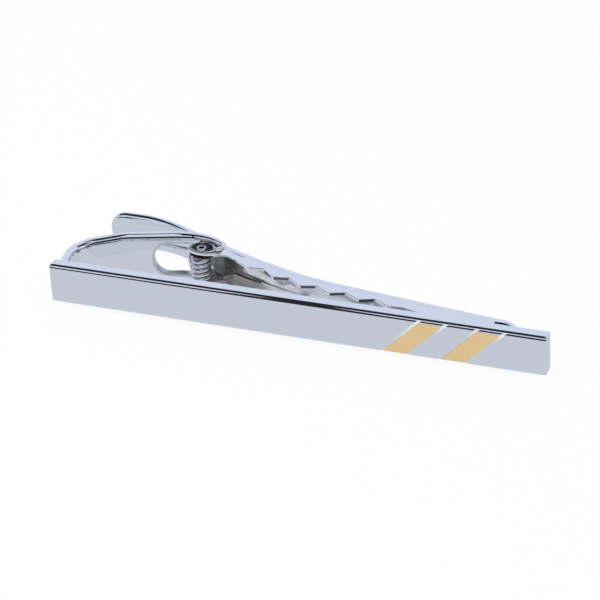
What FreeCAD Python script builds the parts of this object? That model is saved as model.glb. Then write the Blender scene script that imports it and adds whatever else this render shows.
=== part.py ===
import FreeCAD, Part
import math
import os

import Sketcher
from FreeCAD import Placement, Rotation, Vector

# A sprung tie clip: a front bar with two inlaid stripes, a return arm forked round a window and rolled
# into two eyes, and a lever that turns on the pin in those eyes and clamps the cloth against the bar's back.
#
# Sketch coordinates: X along the bar from its middle, Y back from the bar's front face, Z from mid-height.
# Each sub-part's Placement moves them so that the origin is the bottom centre of the whole clip.

# Driving dimensions: name, millimetres or degrees, meaning
DIMENSIONS = (
    ("bar_length", 60.0, "front bar, end to end"),
    ("bar_height", 4.8, "front bar, lower to upper edge"),
    ("bar_thickness", 1.6, "front bar, front to back"),
    ("bar_edge_radius", 0.45, "rounding of the bar's front edges"),
    ("stripe_width", 2.6, "stripe, measured along the bar"),
    ("stripe_lean", 4.2, "how far a stripe's top is to the right of its foot"),
    ("stripe_pitch", 6.75, "middle of one stripe to the middle of the other"),
    ("stripe_inset", 8.5, "bar's right end to the middle of the right stripe"),
    ("stripe_depth", 0.25, "thickness of the inlay"),
    ("overall_depth", 14.8, "bar's front face to the back of the thumb end"),
    ("pin_inset", 16.3, "bar's left end to the hinge axis"),
    ("pin_depth", 8.1, "bar's front face to the hinge axis"),
    ("pin_radius", 0.6, "pin's shank"),
    ("pin_clearance", 0.05, "running clearance of the shank in the ears"),
    ("pin_recess", 0.5, "how far the pin's heads lie inside the eyes"),
    ("pin_boss_radius", 0.58, "raised ring on the pin's heads"),
    ("pin_dimple_radius", 0.3, "dimple in the middle of the ring"),
    ("pin_dimple_depth", 0.25, "depth of that dimple"),
    ("pin_rim_width", 0.25, "rim of the pin's heads outside the groove round the ring"),
    ("pin_groove_depth", 0.35, "depth of that groove"),
    ("arm_thickness", 0.8, "sheet of the return arm"),
    ("arm_height", 6.6, "return arm at the fork"),
    ("arm_shoulder_start", 1.2, "bar's left end to where the arm starts to widen"),
    ("arm_shoulder_length", 5.0, "length over which the arm widens"),
    ("arm_shoulder_radius", 6.0, "rounding of the widening"),
    ("arm_bend_radius", 3.1, "bend at the bar, on the middle of the sheet"),
    ("arm_rise_angle", 17.5, "slope of the arm away from the bar"),
    ("arm_bow_radius", 8.7, "bow over the hinge, on the middle of the sheet"),
    ("arm_fall_angle", 14.0, "slope of the arm where it meets the eye"),
    ("eye_lead", 0.2, "straight run between the bow and the eye"),
    ("eye_radius", 1.45, "inside of the rolled eyes"),
    ("eye_gap_angle", 75.0, "how far the rolled eyes stay open"),
    ("prong_height", 1.2, "each of the arm's two prongs, lower to upper edge"),
    ("window_reach", 6.9, "hinge axis to the round end of the window"),
    ("window_corner_radius", 2.0, "rounding of that end"),
    ("lever_thickness", 0.7, "sheet of the lever"),
    ("thumb_inset", 1.2, "bar's left end to the lever's thumb end"),
    ("thumb_height", 4.9, "lever at the thumb end"),
    ("thumb_corner_radius", 2.4, "rounding of the thumb end"),
    ("thumb_bend_radius", 16.0, "bend from the thumb end to the neck, on the inner face"),
    ("thumb_taper", 6.0, "length over which the thumb end narrows to the neck"),
    ("neck_side_gap", 0.15, "clearance between the lever's neck and each prong"),
    ("neck_angle", 24.5, "slope of the neck towards the bar"),
    ("neck_gap", 0.2, "clearance between the rolled eyes and the lever"),
    ("neck_left", 4.3, "hinge axis to the left end of the neck"),
    ("neck_right", 2.7, "hinge axis to the right end of the neck"),
    ("jaw_taper", 5.5, "length over which the neck widens to the jaw"),
    ("outline_radius", 6.0, "rounding of the lever's tapers"),
    ("jaw_height", 4.4, "lever along the jaw"),
    ("jaw_angle", 7.2, "slope of the jaw towards the bar"),
    ("jaw_bend_radius", 42.0, "bend from the neck to the jaw, on the inner face"),
    ("jaw_end_gap", 0.6, "bar's back to the jaw where the tip begins"),
    ("tip_inset", 3.7, "bar's right end to the lever's tip"),
    ("tip_length", 2.2, "length of the tip that turns away from the bar"),
    ("tip_angle", 8.0, "how far the tip turns away"),
    ("tip_bend_radius", 4.0, "bend at the tip, on the inner face"),
    ("tip_corner_radius", 2.1, "rounding of the tip"),
    ("ear_thickness", 0.5, "sheet of the lever's ears"),
    ("ear_radius", 1.2, "ear round the pin"),
    ("ear_corner_radius", 1.15, "rounding of the ear's free end"),
    ("flange_depth", 1.25, "flange that runs from the ear along the lever"),
    ("flange_length", 4.0, "hinge axis to the end of the flange, along the neck"),
    ("flange_corner_radius", 0.5, "rounding of the flange"),
    ("strip_thickness", 0.3, "sheet of the grip strip"),
    ("strip_height", 4.2, "grip strip, lower to upper edge"),
    ("strip_slot", 3.3, "gap between the strip's two lips"),
    ("strip_clearance", 0.2, "gap between the flange and the grip strip"),
    ("strip_lead", 2.2, "end of the strip to its first crest"),
    ("strip_end_inset", 0.6, "strip's other end to where the lever's tip begins"),
    ("crest_pitch", 3.69, "crest to crest along the lever"),
    ("crest_gap", 0.12, "least gap between a lip and the bar's back"),
    ("crest_depth", 1.65, "lever's inner face to a crest of the lips"),
    ("valley_depth", 0.78, "lever's inner face to a valley of the lips"),
    ("crest_radius", 0.4, "rounding of crests and valleys"),
    ("wire_diameter", 0.38, "spring wire"),
    ("coil_pin_gap", 0.16, "pin's shank to the inside of the coil"),
    ("coil_clearance", 0.06, "spring to the ears and to what its legs press on"),
    ("coil_full_turns", 2, "whole turns, besides the part turn between the legs"),
    ("arm_leg_past", 0.9, "how far the leg on the arm reaches past the window's rim"),
    ("lever_leg_inset", 0.42, "end of the straight neck to the end of the leg on the lever"),
)

# Share of half a piece's height that a rounded end may take, and share of a straight run that a bend may take
FULL_ROUND = 0.98
BEND_SHARE = 0.9

# Share of the way from one crest to the next at which the valley lies
VALLEY_SHARE = 0.45

# Places and sizes worked out from the driving dimensions
LAYOUT = (
    ("left_end", "-dims.bar_length / 2"),
    ("right_end", "dims.bar_length / 2"),
    ("shift_y", "-dims.overall_depth / 2"),
    ("shift_z", "dims.arm_height / 2"),
    ("pin_x", "layout.left_end + dims.pin_inset"),
    ("roll_radius", "dims.eye_radius + dims.arm_thickness / 2"),
    ("arm_x", "layout.left_end + dims.arm_thickness / 2"),
    ("eye_x", "layout.pin_x + layout.roll_radius * sin(dims.arm_fall_angle)"),
    ("eye_y", "dims.pin_depth + layout.roll_radius * cos(dims.arm_fall_angle)"),
    ("bow_run", "dims.eye_lead + dims.arm_bow_radius * tan((dims.arm_rise_angle + dims.arm_fall_angle) / 2)"),
    ("bow_x", "layout.eye_x - layout.bow_run * cos(dims.arm_fall_angle)"),
    ("bow_y", "layout.eye_y + layout.bow_run * sin(dims.arm_fall_angle)"),
    ("bend_y", "layout.bow_y - (layout.bow_x - layout.arm_x) * tan(dims.arm_rise_angle)"),
    ("nose_x", "layout.pin_x + dims.eye_radius + dims.arm_thickness"),
    ("shoulder_x", "layout.left_end + dims.arm_shoulder_start"),
    ("fork_x", "layout.shoulder_x + dims.arm_shoulder_length"),
    ("window_x", "layout.pin_x - dims.window_reach"),
    ("window_height", "dims.arm_height - 2 * dims.prong_height"),
    ("window_corner", f"min(dims.window_corner_radius; {FULL_ROUND} * layout.window_height / 2)"),
    ("neck_height", "layout.window_height - 2 * dims.neck_side_gap"),
    ("thumb_corner", f"min(dims.thumb_corner_radius; {FULL_ROUND} * dims.thumb_height / 2)"),
    ("tip_corner", f"min(dims.tip_corner_radius; {FULL_ROUND} * dims.jaw_height / 2)"),
    ("ear_corner", f"min(dims.ear_corner_radius; {FULL_ROUND} * dims.ear_radius)"),
    ("neck_reach", "dims.eye_radius + dims.arm_thickness + dims.neck_gap"),
    ("foot_x", "layout.pin_x + layout.neck_reach * sin(dims.neck_angle)"),
    ("foot_y", "dims.pin_depth + layout.neck_reach * cos(dims.neck_angle)"),
    ("thumb_x", "layout.left_end + dims.thumb_inset"),
    ("thumb_y", "dims.overall_depth - dims.lever_thickness"),
    ("thumb_bend_x", "layout.foot_x - (layout.thumb_y - layout.foot_y) / tan(dims.neck_angle)"),
    ("thumb_run", "layout.thumb_bend_x - layout.thumb_x"),
    ("neck_run", "(layout.foot_x - layout.thumb_bend_x) / cos(dims.neck_angle)"),
    ("thumb_bend_run", "min(dims.thumb_bend_radius * tan(dims.neck_angle / 2);"
                       f" {BEND_SHARE} * layout.thumb_run;"
                       f" {BEND_SHARE} * (layout.neck_run - dims.ear_radius))"),
    ("thumb_bend", "layout.thumb_bend_run / tan(dims.neck_angle / 2)"),
    ("tip_x", "layout.right_end - dims.tip_inset"),
    ("jaw_end_x", "layout.tip_x - dims.tip_length"),
    ("jaw_end_y", "dims.bar_thickness + dims.jaw_end_gap"),
    ("tip_y", "layout.jaw_end_y + dims.tip_length * tan(dims.tip_angle)"),
    ("jaw_rise", "layout.foot_y + layout.foot_x * tan(dims.neck_angle)"
                 " - layout.jaw_end_y - layout.jaw_end_x * tan(dims.jaw_angle)"),
    ("jaw_bend_x", "layout.jaw_rise / (tan(dims.neck_angle) - tan(dims.jaw_angle))"),
    ("jaw_bend_y", "layout.foot_y - (layout.jaw_bend_x - layout.foot_x) * tan(dims.neck_angle)"),
    ("jaw_bend_run", "dims.jaw_bend_radius * tan((dims.neck_angle - dims.jaw_angle) / 2)"),
    ("neck_length", "(layout.jaw_bend_x - layout.foot_x) / cos(dims.neck_angle) - layout.jaw_bend_run"),
    ("bend_length", "dims.jaw_bend_radius * (dims.neck_angle - dims.jaw_angle) * pi / 180"),
    ("neck_left_x", "layout.pin_x - dims.neck_left"),
    ("neck_right_x", "layout.pin_x + dims.neck_right"),
    ("thumb_taper_x", "layout.neck_left_x - dims.thumb_taper"),
    ("jaw_taper_x", "layout.neck_right_x + dims.jaw_taper"),
    ("ear_z", "layout.neck_height / 2 - dims.ear_thickness"),
    ("pin_head_z", "layout.window_height / 2"),
    ("pin_top_z", "dims.arm_height / 2 - dims.pin_recess"),
    ("pin_groove", "dims.eye_radius - dims.pin_rim_width"),
    ("strip_start", "dims.flange_length + dims.strip_clearance"),
    ("first_crest", "layout.strip_start + dims.strip_lead"),
    ("crest_front", "dims.crest_depth * cos(dims.jaw_angle)"),
    ("crest_limit_x", "layout.jaw_end_x - (dims.bar_thickness + dims.crest_gap + layout.crest_front"
                      " - layout.jaw_end_y) / tan(dims.jaw_angle)"),
    ("crest_limit", "(layout.crest_limit_x - layout.jaw_bend_x) / cos(dims.jaw_angle)"
                    " + layout.neck_length + layout.bend_length - layout.jaw_bend_run"),
    ("crest_count", "max(1; floor((layout.crest_limit - layout.first_crest) / dims.crest_pitch))"),
    ("strip_end_x", "layout.jaw_end_x - dims.strip_end_inset"),
    ("strip_end_y", "layout.jaw_end_y + dims.strip_end_inset * tan(dims.jaw_angle)"),
    ("hollow_start", "layout.strip_start - 1"),
    ("hollow_end", "layout.crest_limit + dims.crest_pitch"),
    ("coil_radius", "dims.pin_radius + dims.coil_pin_gap + dims.wire_diameter / 2"),
    ("coil_z", "layout.ear_z - dims.coil_clearance - dims.wire_diameter / 2"),
    ("wire_gap", "dims.coil_clearance + dims.wire_diameter / 2"),
    ("rim_z", "max(0; layout.coil_z + dims.wire_diameter / 2"
              " - layout.window_height / 2 + layout.window_corner)"),
    ("rim_x", "layout.window_x + layout.window_corner - sqrt(layout.window_corner ^ 2 - layout.rim_z ^ 2)"),
    ("rim_y", "layout.bow_y - (layout.bow_x - layout.rim_x) * tan(dims.arm_rise_angle)"
              " + (dims.arm_thickness / 2 + layout.wire_gap) / cos(dims.arm_rise_angle)"),
    ("lever_leg", "layout.neck_run - layout.thumb_bend_run - dims.lever_leg_inset"),
    ("lever_leg_x", "layout.foot_x - layout.lever_leg * cos(dims.neck_angle)"
                    " - layout.wire_gap * sin(dims.neck_angle)"),
    ("lever_leg_y", "layout.foot_y + layout.lever_leg * sin(dims.neck_angle)"
                    " - layout.wire_gap * cos(dims.neck_angle)"),
)

# How far the outlines that trim a sheet reach past it
TRIM_MARGIN = 3.0

doc = FreeCAD.newDocument("tie_clip")

dims = doc.addObject("Spreadsheet::Sheet", "dims")
for row, (alias, size, meaning) in enumerate(DIMENSIONS, start=1):
    dims.set(f"A{row}", alias)
    dims.set(f"B{row}", str(size))
    dims.setAlias(f"B{row}", alias)
    dims.set(f"C{row}", meaning)
doc.recompute()

layout = doc.addObject("App::VarSet", "layout")
for place, expression in LAYOUT:
    layout.addProperty("App::PropertyFloat", place)
    layout.setExpression(place, expression)
    doc.recompute()


def value(expression):
    """The number that an expression of the sheet's and the layout's values gives."""
    return float(layout.evalExpression(expression))


def new_body(label, x="0", y="layout.shift_y", z="layout.shift_z"):
    """A sub-part's body, placed by three expressions."""
    body = doc.addObject("PartDesign::Body", label)
    body.Label = label
    for axis, expression in zip("xyz", (x, y, z)):
        body.setExpression(f"Placement.Base.{axis}", expression)
    return body


def new_sketch(body, name, plane, **offset):
    """A sketch on one of the body's own planes, its offset from it given as expressions."""
    sketch = body.newObject("Sketcher::SketchObject", name)
    support = next(item for item in body.Origin.OriginFeatures if item.Role == plane)
    sketch.AttachmentSupport = [(support, "")]
    sketch.MapMode = "FlatFace"
    for axis in set(offset) & set("xyz"):
        sketch.setExpression(f"AttachmentOffset.Base.{axis}", offset[axis])
    if "turn" in offset:
        sketch.AttachmentOffset = Placement(Vector(), Rotation(offset["about"], 1.0))
        sketch.setExpression("AttachmentOffset.Rotation.Angle", offset["turn"])
    return sketch


def bind(sketch, expression, *constraint):
    """Adds a dimension to a sketch and binds it to an expression."""
    index = sketch.addConstraint(Sketcher.Constraint(*constraint, value(expression)))
    sketch.setExpression(f"Constraints[{index}]", expression)


def tie(sketch, *constraint):
    sketch.addConstraint(Sketcher.Constraint(*constraint))


def round_corner(sketch, before, corner, after, radius):
    """An arc tangent to both runs at a corner, and the places where one run stops and the next starts."""
    arriving = (corner - before).normalize()
    leaving = (after - corner).normalize()
    size = value(radius)
    turn = arriving.getAngle(leaving)
    stop = corner - arriving * (size * math.tan(turn / 2))
    start = corner + leaving * (size * math.tan(turn / 2))
    left_turn = arriving.cross(leaving).z > 0
    aside = Vector(-arriving.y, arriving.x, 0) * (1 if left_turn else -1)
    centre = stop + aside * size
    first, last = (stop, start) if left_turn else (start, stop)
    angles = [math.atan2(end.y - centre.y, end.x - centre.x) for end in (first, last)]
    arc = sketch.addGeometry(Part.ArcOfCircle(Part.Circle(centre, Vector(0, 0, 1), size), *angles), False)
    bind(sketch, radius, "Radius", arc)
    ends = (1, 2) if left_turn else (2, 1)
    return {"arc": arc, "stop": stop, "start": start, "stop_end": ends[0], "start_end": ends[1]}


def draw(sketch, corners, closed=True):
    """Straight runs from corner to corner, rounded at each corner that has a radius.

    A corner is (x, y) or (x, y, radius), all expressions. It is a construction point bound to them; the runs
    pass through these points and the arcs are tangent to the runs. Returns the last run.
    """
    count = len(corners)
    points = [Vector(value(corner[0]), value(corner[1]), 0) for corner in corners]
    marks = []
    for corner, point in zip(corners, points):
        mark = sketch.addGeometry(Part.Point(point), True)
        bind(sketch, corner[0], "DistanceX", -1, 1, mark, 1)
        bind(sketch, corner[1], "DistanceY", -1, 1, mark, 1)
        marks.append(mark)
    arcs = {}
    for i in range(count):
        if len(corners[i]) == 3:
            arcs[i] = round_corner(sketch, points[i - 1], points[i], points[(i + 1) % count], corners[i][2])
    run = None
    for i in range(count if closed else count - 1):
        j = (i + 1) % count
        start = arcs[i]["start"] if i in arcs else points[i]
        stop = arcs[j]["stop"] if j in arcs else points[j]
        run = sketch.addGeometry(Part.LineSegment(start, stop), False)
        for end, k, side in ((1, i, "start_end"), (2, j, "stop_end")):
            if k in arcs:
                tie(sketch, "PointOnObject", marks[k], 1, run)
                tie(sketch, "Tangent", run, end, arcs[k]["arc"], arcs[k][side])
            else:
                tie(sketch, "Coincident", run, end, marks[k], 1)
    return run


def rectangle(sketch, x0, y0, x1, y1):
    draw(sketch, [(x0, y0), (x1, y0), (x1, y1), (x0, y1)])


def mirrored(corners):
    """An upper outline from left to right, closed by its mirror image below."""
    lower = [(corner[0], f"-({corner[1]})", *corner[2:]) for corner in reversed(corners)]
    return list(corners) + lower


def pad(body, sketch, length, symmetric=False, reverse=False):
    feature = body.newObject("PartDesign::Pad", sketch.Name + "_pad")
    feature.Profile = sketch
    feature.setExpression("Length", length)
    feature.SideType = "Symmetric" if symmetric else "One side"
    feature.Reversed = reverse
    return feature


def cut_through(body, sketch):
    feature = body.newObject("PartDesign::Pocket", sketch.Name + "_cut")
    feature.Profile = sketch
    feature.SideType = "Two sides"
    feature.Type = "ThroughAll"
    feature.Type2 = "ThroughAll"
    return feature


def hollow_out(body, sketch, height):
    """Takes a height on both sides of mid-height away inside a sketch's outline."""
    feature = body.newObject("PartDesign::Pocket", sketch.Name + "_cut")
    feature.Profile = sketch
    feature.SideType = "Symmetric"
    feature.setExpression("Length", height)
    return feature


def bend_sheet(body, profile, spine):
    """A sheet's section carried along its plan."""
    feature = body.newObject("PartDesign::AdditivePipe", profile.Name + "_sheet")
    feature.Profile = profile
    feature.Spine = (spine, [""])
    feature.Mode = "Standard"
    return feature


def trim_outline(body, name, corners, reach):
    """Cuts away what a sheet has outside an upright outline; reach is half the height of the cut frame."""
    frame = new_sketch(body, name, "XZ_Plane")
    left = f"layout.left_end - {TRIM_MARGIN}"
    right = f"layout.right_end + {TRIM_MARGIN}"
    rectangle(frame, left, f"-({reach})", right, reach)
    draw(frame, corners)
    return cut_through(body, frame)


def make_bar():
    """The bar with rounded front edges, a diagonal channel for each stripe and the stripe that fills it."""
    blank = new_body("bar_blank")
    section = new_sketch(blank, "bar_section", "YZ_Plane")
    half = "dims.bar_height / 2"
    draw(section, [
        ("0", f"-{half}", "dims.bar_edge_radius"),
        ("dims.bar_thickness", f"-{half}"),
        ("dims.bar_thickness", half),
        ("0", half, "dims.bar_edge_radius"),
    ])
    pad(blank, section, "dims.bar_length", symmetric=True)

    channels = []
    stripes = []
    for label, place in (("gold_stripe_left", 1), ("gold_stripe_right", 0)):
        channel = new_body(label + "_channel")
        outline = new_sketch(channel, label + "_outline", "XZ_Plane")
        middle = f"layout.right_end - dims.stripe_inset - {place} * dims.stripe_pitch"
        draw(outline, [
            (f"{middle} - dims.stripe_width / 2 - dims.stripe_lean / 2", f"-{half}"),
            (f"{middle} + dims.stripe_width / 2 - dims.stripe_lean / 2", f"-{half}"),
            (f"{middle} + dims.stripe_width / 2 + dims.stripe_lean / 2", half),
            (f"{middle} - dims.stripe_width / 2 + dims.stripe_lean / 2", half),
        ])
        pad(channel, outline, "dims.stripe_depth", reverse=True)
        channels.append(channel)
        stripe = doc.addObject("Part::Common", label)
        stripe.Label = label
        stripe.Base = blank
        stripe.Tool = channel
        stripes.append(stripe)

    both = doc.addObject("Part::MultiFuse", "stripe_channels")
    both.Shapes = channels
    bar = doc.addObject("Part::Cut", "front_bar")
    bar.Label = "front_bar"
    bar.Base = blank
    bar.Tool = both
    return [bar] + stripes


def make_arm():
    """The return arm: back from the bar's left end, over the hinge and round the pin, forked by its window."""
    arm = new_body("return_arm")
    plan = new_sketch(arm, "arm_plan", "XY_Plane")
    last = draw(plan, [
        ("layout.arm_x", "dims.bar_thickness"),
        ("layout.arm_x", "layout.bend_y", "dims.arm_bend_radius"),
        ("layout.bow_x", "layout.bow_y", "dims.arm_bow_radius"),
        ("layout.eye_x", "layout.eye_y"),
    ], closed=False)
    centre = Vector(value("layout.pin_x"), value("dims.pin_depth"), 0)
    start = math.radians(90 - value("dims.arm_fall_angle"))
    end = start - math.radians(360 - value("dims.eye_gap_angle"))
    circle = Part.Circle(centre, Vector(0, 0, 1), value("layout.roll_radius"))
    eye = plan.addGeometry(Part.ArcOfCircle(circle, end, start), False)
    bind(plan, "layout.pin_x", "DistanceX", -1, 1, eye, 3)
    bind(plan, "dims.pin_depth", "DistanceY", -1, 1, eye, 3)
    tie(plan, "Coincident", eye, 2, last, 2)
    wrap = plan.addConstraint(Sketcher.Constraint("Angle", eye, start - end))
    plan.setExpression(f"Constraints[{wrap}]", "(360 - dims.eye_gap_angle) * 1 deg")

    section = new_sketch(arm, "arm_section", "XZ_Plane", z="-dims.bar_thickness")
    rectangle(section, "layout.left_end", "-dims.arm_height / 2",
              "layout.left_end + dims.arm_thickness", "dims.arm_height / 2")
    bend_sheet(arm, section, plan)

    past_nose = f"layout.nose_x + {TRIM_MARGIN / 2}"
    trim_outline(arm, "arm_outline", mirrored([
        (f"layout.left_end - {TRIM_MARGIN / 2}", "dims.bar_height / 2"),
        ("layout.shoulder_x", "dims.bar_height / 2", "dims.arm_shoulder_radius"),
        ("layout.fork_x", "dims.arm_height / 2", "dims.arm_shoulder_radius"),
        (past_nose, "dims.arm_height / 2"),
    ]), f"dims.arm_height / 2 + {TRIM_MARGIN}")
    window = new_sketch(arm, "arm_window", "XZ_Plane")
    draw(window, mirrored([
        ("layout.window_x", "layout.window_height / 2", "layout.window_corner"),
        (past_nose, "layout.window_height / 2"),
    ]))
    cut_through(arm, window)
    return arm


def make_pin():
    """A headed pin: its shank carries the lever, and its two heads sit fast in the arm's eyes."""
    pin = new_body("hinge_pin", "layout.pin_x", "layout.shift_y + dims.pin_depth")
    half_section = new_sketch(pin, "pin_half_section", "XZ_Plane")
    dimple_z = "layout.pin_top_z - dims.pin_dimple_depth"
    groove_z = "layout.pin_top_z - dims.pin_groove_depth"
    upper = [
        ("0", dimple_z),
        ("dims.pin_dimple_radius", dimple_z),
        ("dims.pin_dimple_radius", "layout.pin_top_z"),
        ("dims.pin_boss_radius", "layout.pin_top_z"),
        ("dims.pin_boss_radius", groove_z),
        ("layout.pin_groove", groove_z),
        ("layout.pin_groove", "layout.pin_top_z"),
        ("dims.eye_radius", "layout.pin_top_z"),
        ("dims.eye_radius", "layout.pin_head_z"),
        ("dims.pin_radius", "layout.pin_head_z"),
    ]
    draw(half_section, mirrored(upper))
    turned = pin.newObject("PartDesign::Revolution", "pin_turned")
    turned.Profile = half_section
    turned.ReferenceAxis = (half_section, ["V_Axis"])
    turned.Angle = 360.0
    return pin


def make_lever():
    """The lever: one bent leaf from thumb end to tip, with two ears on the pin and flanges along its neck."""
    lever = new_body("clip_lever")
    plan = new_sketch(lever, "lever_plan", "XY_Plane")
    draw(plan, [
        ("layout.thumb_x", "layout.thumb_y"),
        ("layout.thumb_bend_x", "layout.thumb_y", "layout.thumb_bend"),
        ("layout.jaw_bend_x", "layout.jaw_bend_y", "dims.jaw_bend_radius"),
        ("layout.jaw_end_x", "layout.jaw_end_y", "dims.tip_bend_radius"),
        ("layout.tip_x", "layout.tip_y"),
    ], closed=False)
    section = new_sketch(lever, "lever_section", "YZ_Plane", z="layout.thumb_x")
    tallest = "max(dims.thumb_height; dims.jaw_height) / 2"
    rectangle(section, "layout.thumb_y", f"-{tallest}", "dims.overall_depth", tallest)
    bend_sheet(lever, section, plan)

    trim_outline(lever, "lever_outline", mirrored([
        ("layout.thumb_x", "dims.thumb_height / 2", "layout.thumb_corner"),
        ("layout.thumb_taper_x", "dims.thumb_height / 2", "dims.outline_radius"),
        ("layout.neck_left_x", "layout.neck_height / 2", "dims.outline_radius"),
        ("layout.neck_right_x", "layout.neck_height / 2", "dims.outline_radius"),
        ("layout.jaw_taper_x", "dims.jaw_height / 2", "dims.outline_radius"),
        ("layout.tip_x", "dims.jaw_height / 2", "layout.tip_corner"),
    ]), f"{tallest} + {TRIM_MARGIN}")

    root = "layout.neck_reach + dims.lever_thickness / 2"
    flange = "layout.neck_reach - dims.flange_depth"
    for name, foot in (("upper_ear", "layout.ear_z"), ("lower_ear", "-layout.neck_height / 2")):
        outline = new_sketch(lever, name, "XY_Plane", x="layout.pin_x", y="dims.pin_depth", z=foot,
                             turn="-dims.neck_angle", about=Vector(0, 0, 1))
        draw(outline, [
            ("-dims.ear_radius", root),
            ("-dims.ear_radius", "-dims.ear_radius", "layout.ear_corner"),
            ("dims.ear_radius", "-dims.ear_radius", "layout.ear_corner"),
            ("dims.ear_radius", flange, "dims.flange_corner_radius"),
            ("dims.flange_length", flange, "dims.flange_corner_radius"),
            ("dims.flange_length", root),
        ])
        pad(lever, outline, "dims.ear_thickness")

    bore = new_sketch(lever, "pin_bore", "XY_Plane", x="layout.pin_x", y="dims.pin_depth")
    hole = bore.addGeometry(Part.Circle(Vector(), Vector(0, 0, 1), value("dims.pin_radius")), False)
    tie(bore, "Coincident", hole, 3, -1, 1)
    bind(bore, "dims.pin_radius + dims.pin_clearance", "Radius", hole)
    cut_through(lever, bore)
    return lever


def on_lever(along, off):
    """Expressions for the point off the lever's inner face, at a length along it from the hinge's foot."""
    length = value(along)
    neck = value("layout.neck_length")
    bend = value("layout.bend_length")
    if length <= neck:
        slope = "dims.neck_angle"
        base_x = f"layout.foot_x + ({along}) * cos({slope})"
        base_y = f"layout.foot_y - ({along}) * sin({slope})"
    elif length <= neck + bend:
        slope = f"(dims.neck_angle - ({along} - layout.neck_length) / dims.jaw_bend_radius * 180 / pi)"
        base_x = (f"layout.foot_x + layout.neck_length * cos(dims.neck_angle)"
                  f" + dims.jaw_bend_radius * (sin(dims.neck_angle) - sin({slope}))")
        base_y = (f"layout.foot_y - layout.neck_length * sin(dims.neck_angle)"
                  f" + dims.jaw_bend_radius * (cos(dims.neck_angle) - cos({slope}))")
    else:
        slope = "dims.jaw_angle"
        past_bend = f"({along} - layout.neck_length - layout.bend_length + layout.jaw_bend_run)"
        base_x = f"layout.jaw_bend_x + {past_bend} * cos({slope})"
        base_y = f"layout.jaw_bend_y - {past_bend} * sin({slope})"
    return f"{base_x} - ({off}) * sin({slope})", f"{base_y} - ({off}) * cos({slope})"


def jaw_bend(off):
    """Expressions for the corner of the lever's jaw bend, off its inner face, and for its radius there."""
    lean = "((dims.neck_angle + dims.jaw_angle) / 2)"
    reach = f"({off}) / cos((dims.neck_angle - dims.jaw_angle) / 2)"
    return (f"layout.jaw_bend_x - {reach} * sin{lean}", f"layout.jaw_bend_y - {reach} * cos{lean}",
            f"dims.jaw_bend_radius + ({off})")


def lip_edge(back):
    """Corners of the toothed edge from left to right up to the bar, set back by an expression."""
    crests = int(value("layout.crest_count"))
    corners = []
    for crest in range(crests):
        along = f"layout.first_crest + {crest} * dims.crest_pitch"
        step = "dims.crest_pitch" if crest < crests - 1 else f"(layout.crest_limit - ({along}))"
        corners.append((*on_lever(along, f"dims.crest_depth - {back}"), "dims.crest_radius"))
        corners.append((*on_lever(f"{along} + {VALLEY_SHARE} * {step}", f"dims.valley_depth - {back}"),
                        "dims.crest_radius"))
    corners.append(on_lever("layout.crest_limit", f"dims.crest_depth - {back}"))
    return corners


def make_strip():
    """The grip strip: a channel on the lever's inner face with two short inturned lips. The lips are toothed,
    and near the tip they run along the bar's back."""
    strip = new_body("grip_strip")
    sheet = "dims.strip_thickness"
    outline = new_sketch(strip, "strip_outline", "XY_Plane")
    draw(outline, [
        on_lever("layout.strip_start", "0"),
        on_lever("layout.strip_start", "dims.flange_depth"),
        *lip_edge("0"),
        ("layout.strip_end_x", "dims.bar_thickness + dims.crest_gap"),
        ("layout.strip_end_x", "layout.strip_end_y"),
        jaw_bend("0"),
    ])
    pad(strip, outline, "dims.strip_height", symmetric=True)

    inside = new_sketch(strip, "strip_inside", "XY_Plane")
    hollow_end = on_lever("layout.hollow_end", sheet)
    draw(inside, [
        on_lever("layout.hollow_start", sheet),
        on_lever("layout.hollow_start", f"dims.flange_depth - {sheet}"),
        on_lever("layout.strip_start", f"dims.flange_depth - {sheet}"),
        *lip_edge(sheet),
        (hollow_end[0], f"dims.bar_thickness + dims.crest_gap + {sheet}"),
        hollow_end,
        jaw_bend(sheet),
    ])
    hollow_out(strip, inside, f"dims.strip_height - 2 * {sheet}")

    slot = new_sketch(strip, "strip_slot", "XY_Plane")
    past_lips = "dims.crest_depth + 1"
    draw(slot, [
        on_lever("layout.hollow_start", sheet),
        on_lever("layout.hollow_start", past_lips),
        jaw_bend(past_lips),
        on_lever("layout.hollow_end", past_lips),
        hollow_end,
        jaw_bend(sheet),
    ])
    hollow_out(strip, slot, "dims.strip_slot")
    return strip


def arc_from(start, tangent, end):
    """The arc that leaves start along tangent and passes through end."""
    chord = end - start
    along = Vector(chord).normalize()
    bow = tangent - along * tangent.dot(along)
    half_turn = tangent.getAngle(chord)
    middle = (start + end) * 0.5 + bow.normalize() * (chord.Length / 2 * math.tan(half_turn / 2))
    return Part.Arc(start, middle, end)


def biarc(start, start_tangent, end, end_tangent):
    """Two arcs that join smoothly and keep the tangents at both ends."""
    gap = end - start
    total = start_tangent + end_tangent
    a = 2 * (1 - start_tangent.dot(end_tangent))
    b = 2 * gap.dot(total)
    reach = (-b + math.sqrt(b * b + 4 * a * gap.dot(gap))) / (2 * a)
    joint = (start + end + (start_tangent - end_tangent) * reach) * 0.5
    middle_tangent = (joint - start - start_tangent * reach).normalize()
    return [arc_from(start, start_tangent, joint), arc_from(joint, middle_tangent, end)]


def least_gap(edges, wire):
    """The least distance between the wire's surface and itself, away from its own next stretch."""
    points = []
    for edge in edges:
        points.extend(edge.discretize(Distance=wire / 6)[:-1])
    apart = int(4 * wire / (wire / 6))
    return min((p - q).Length for i, p in enumerate(points) for q in points[i + apart:]) - wire


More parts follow.
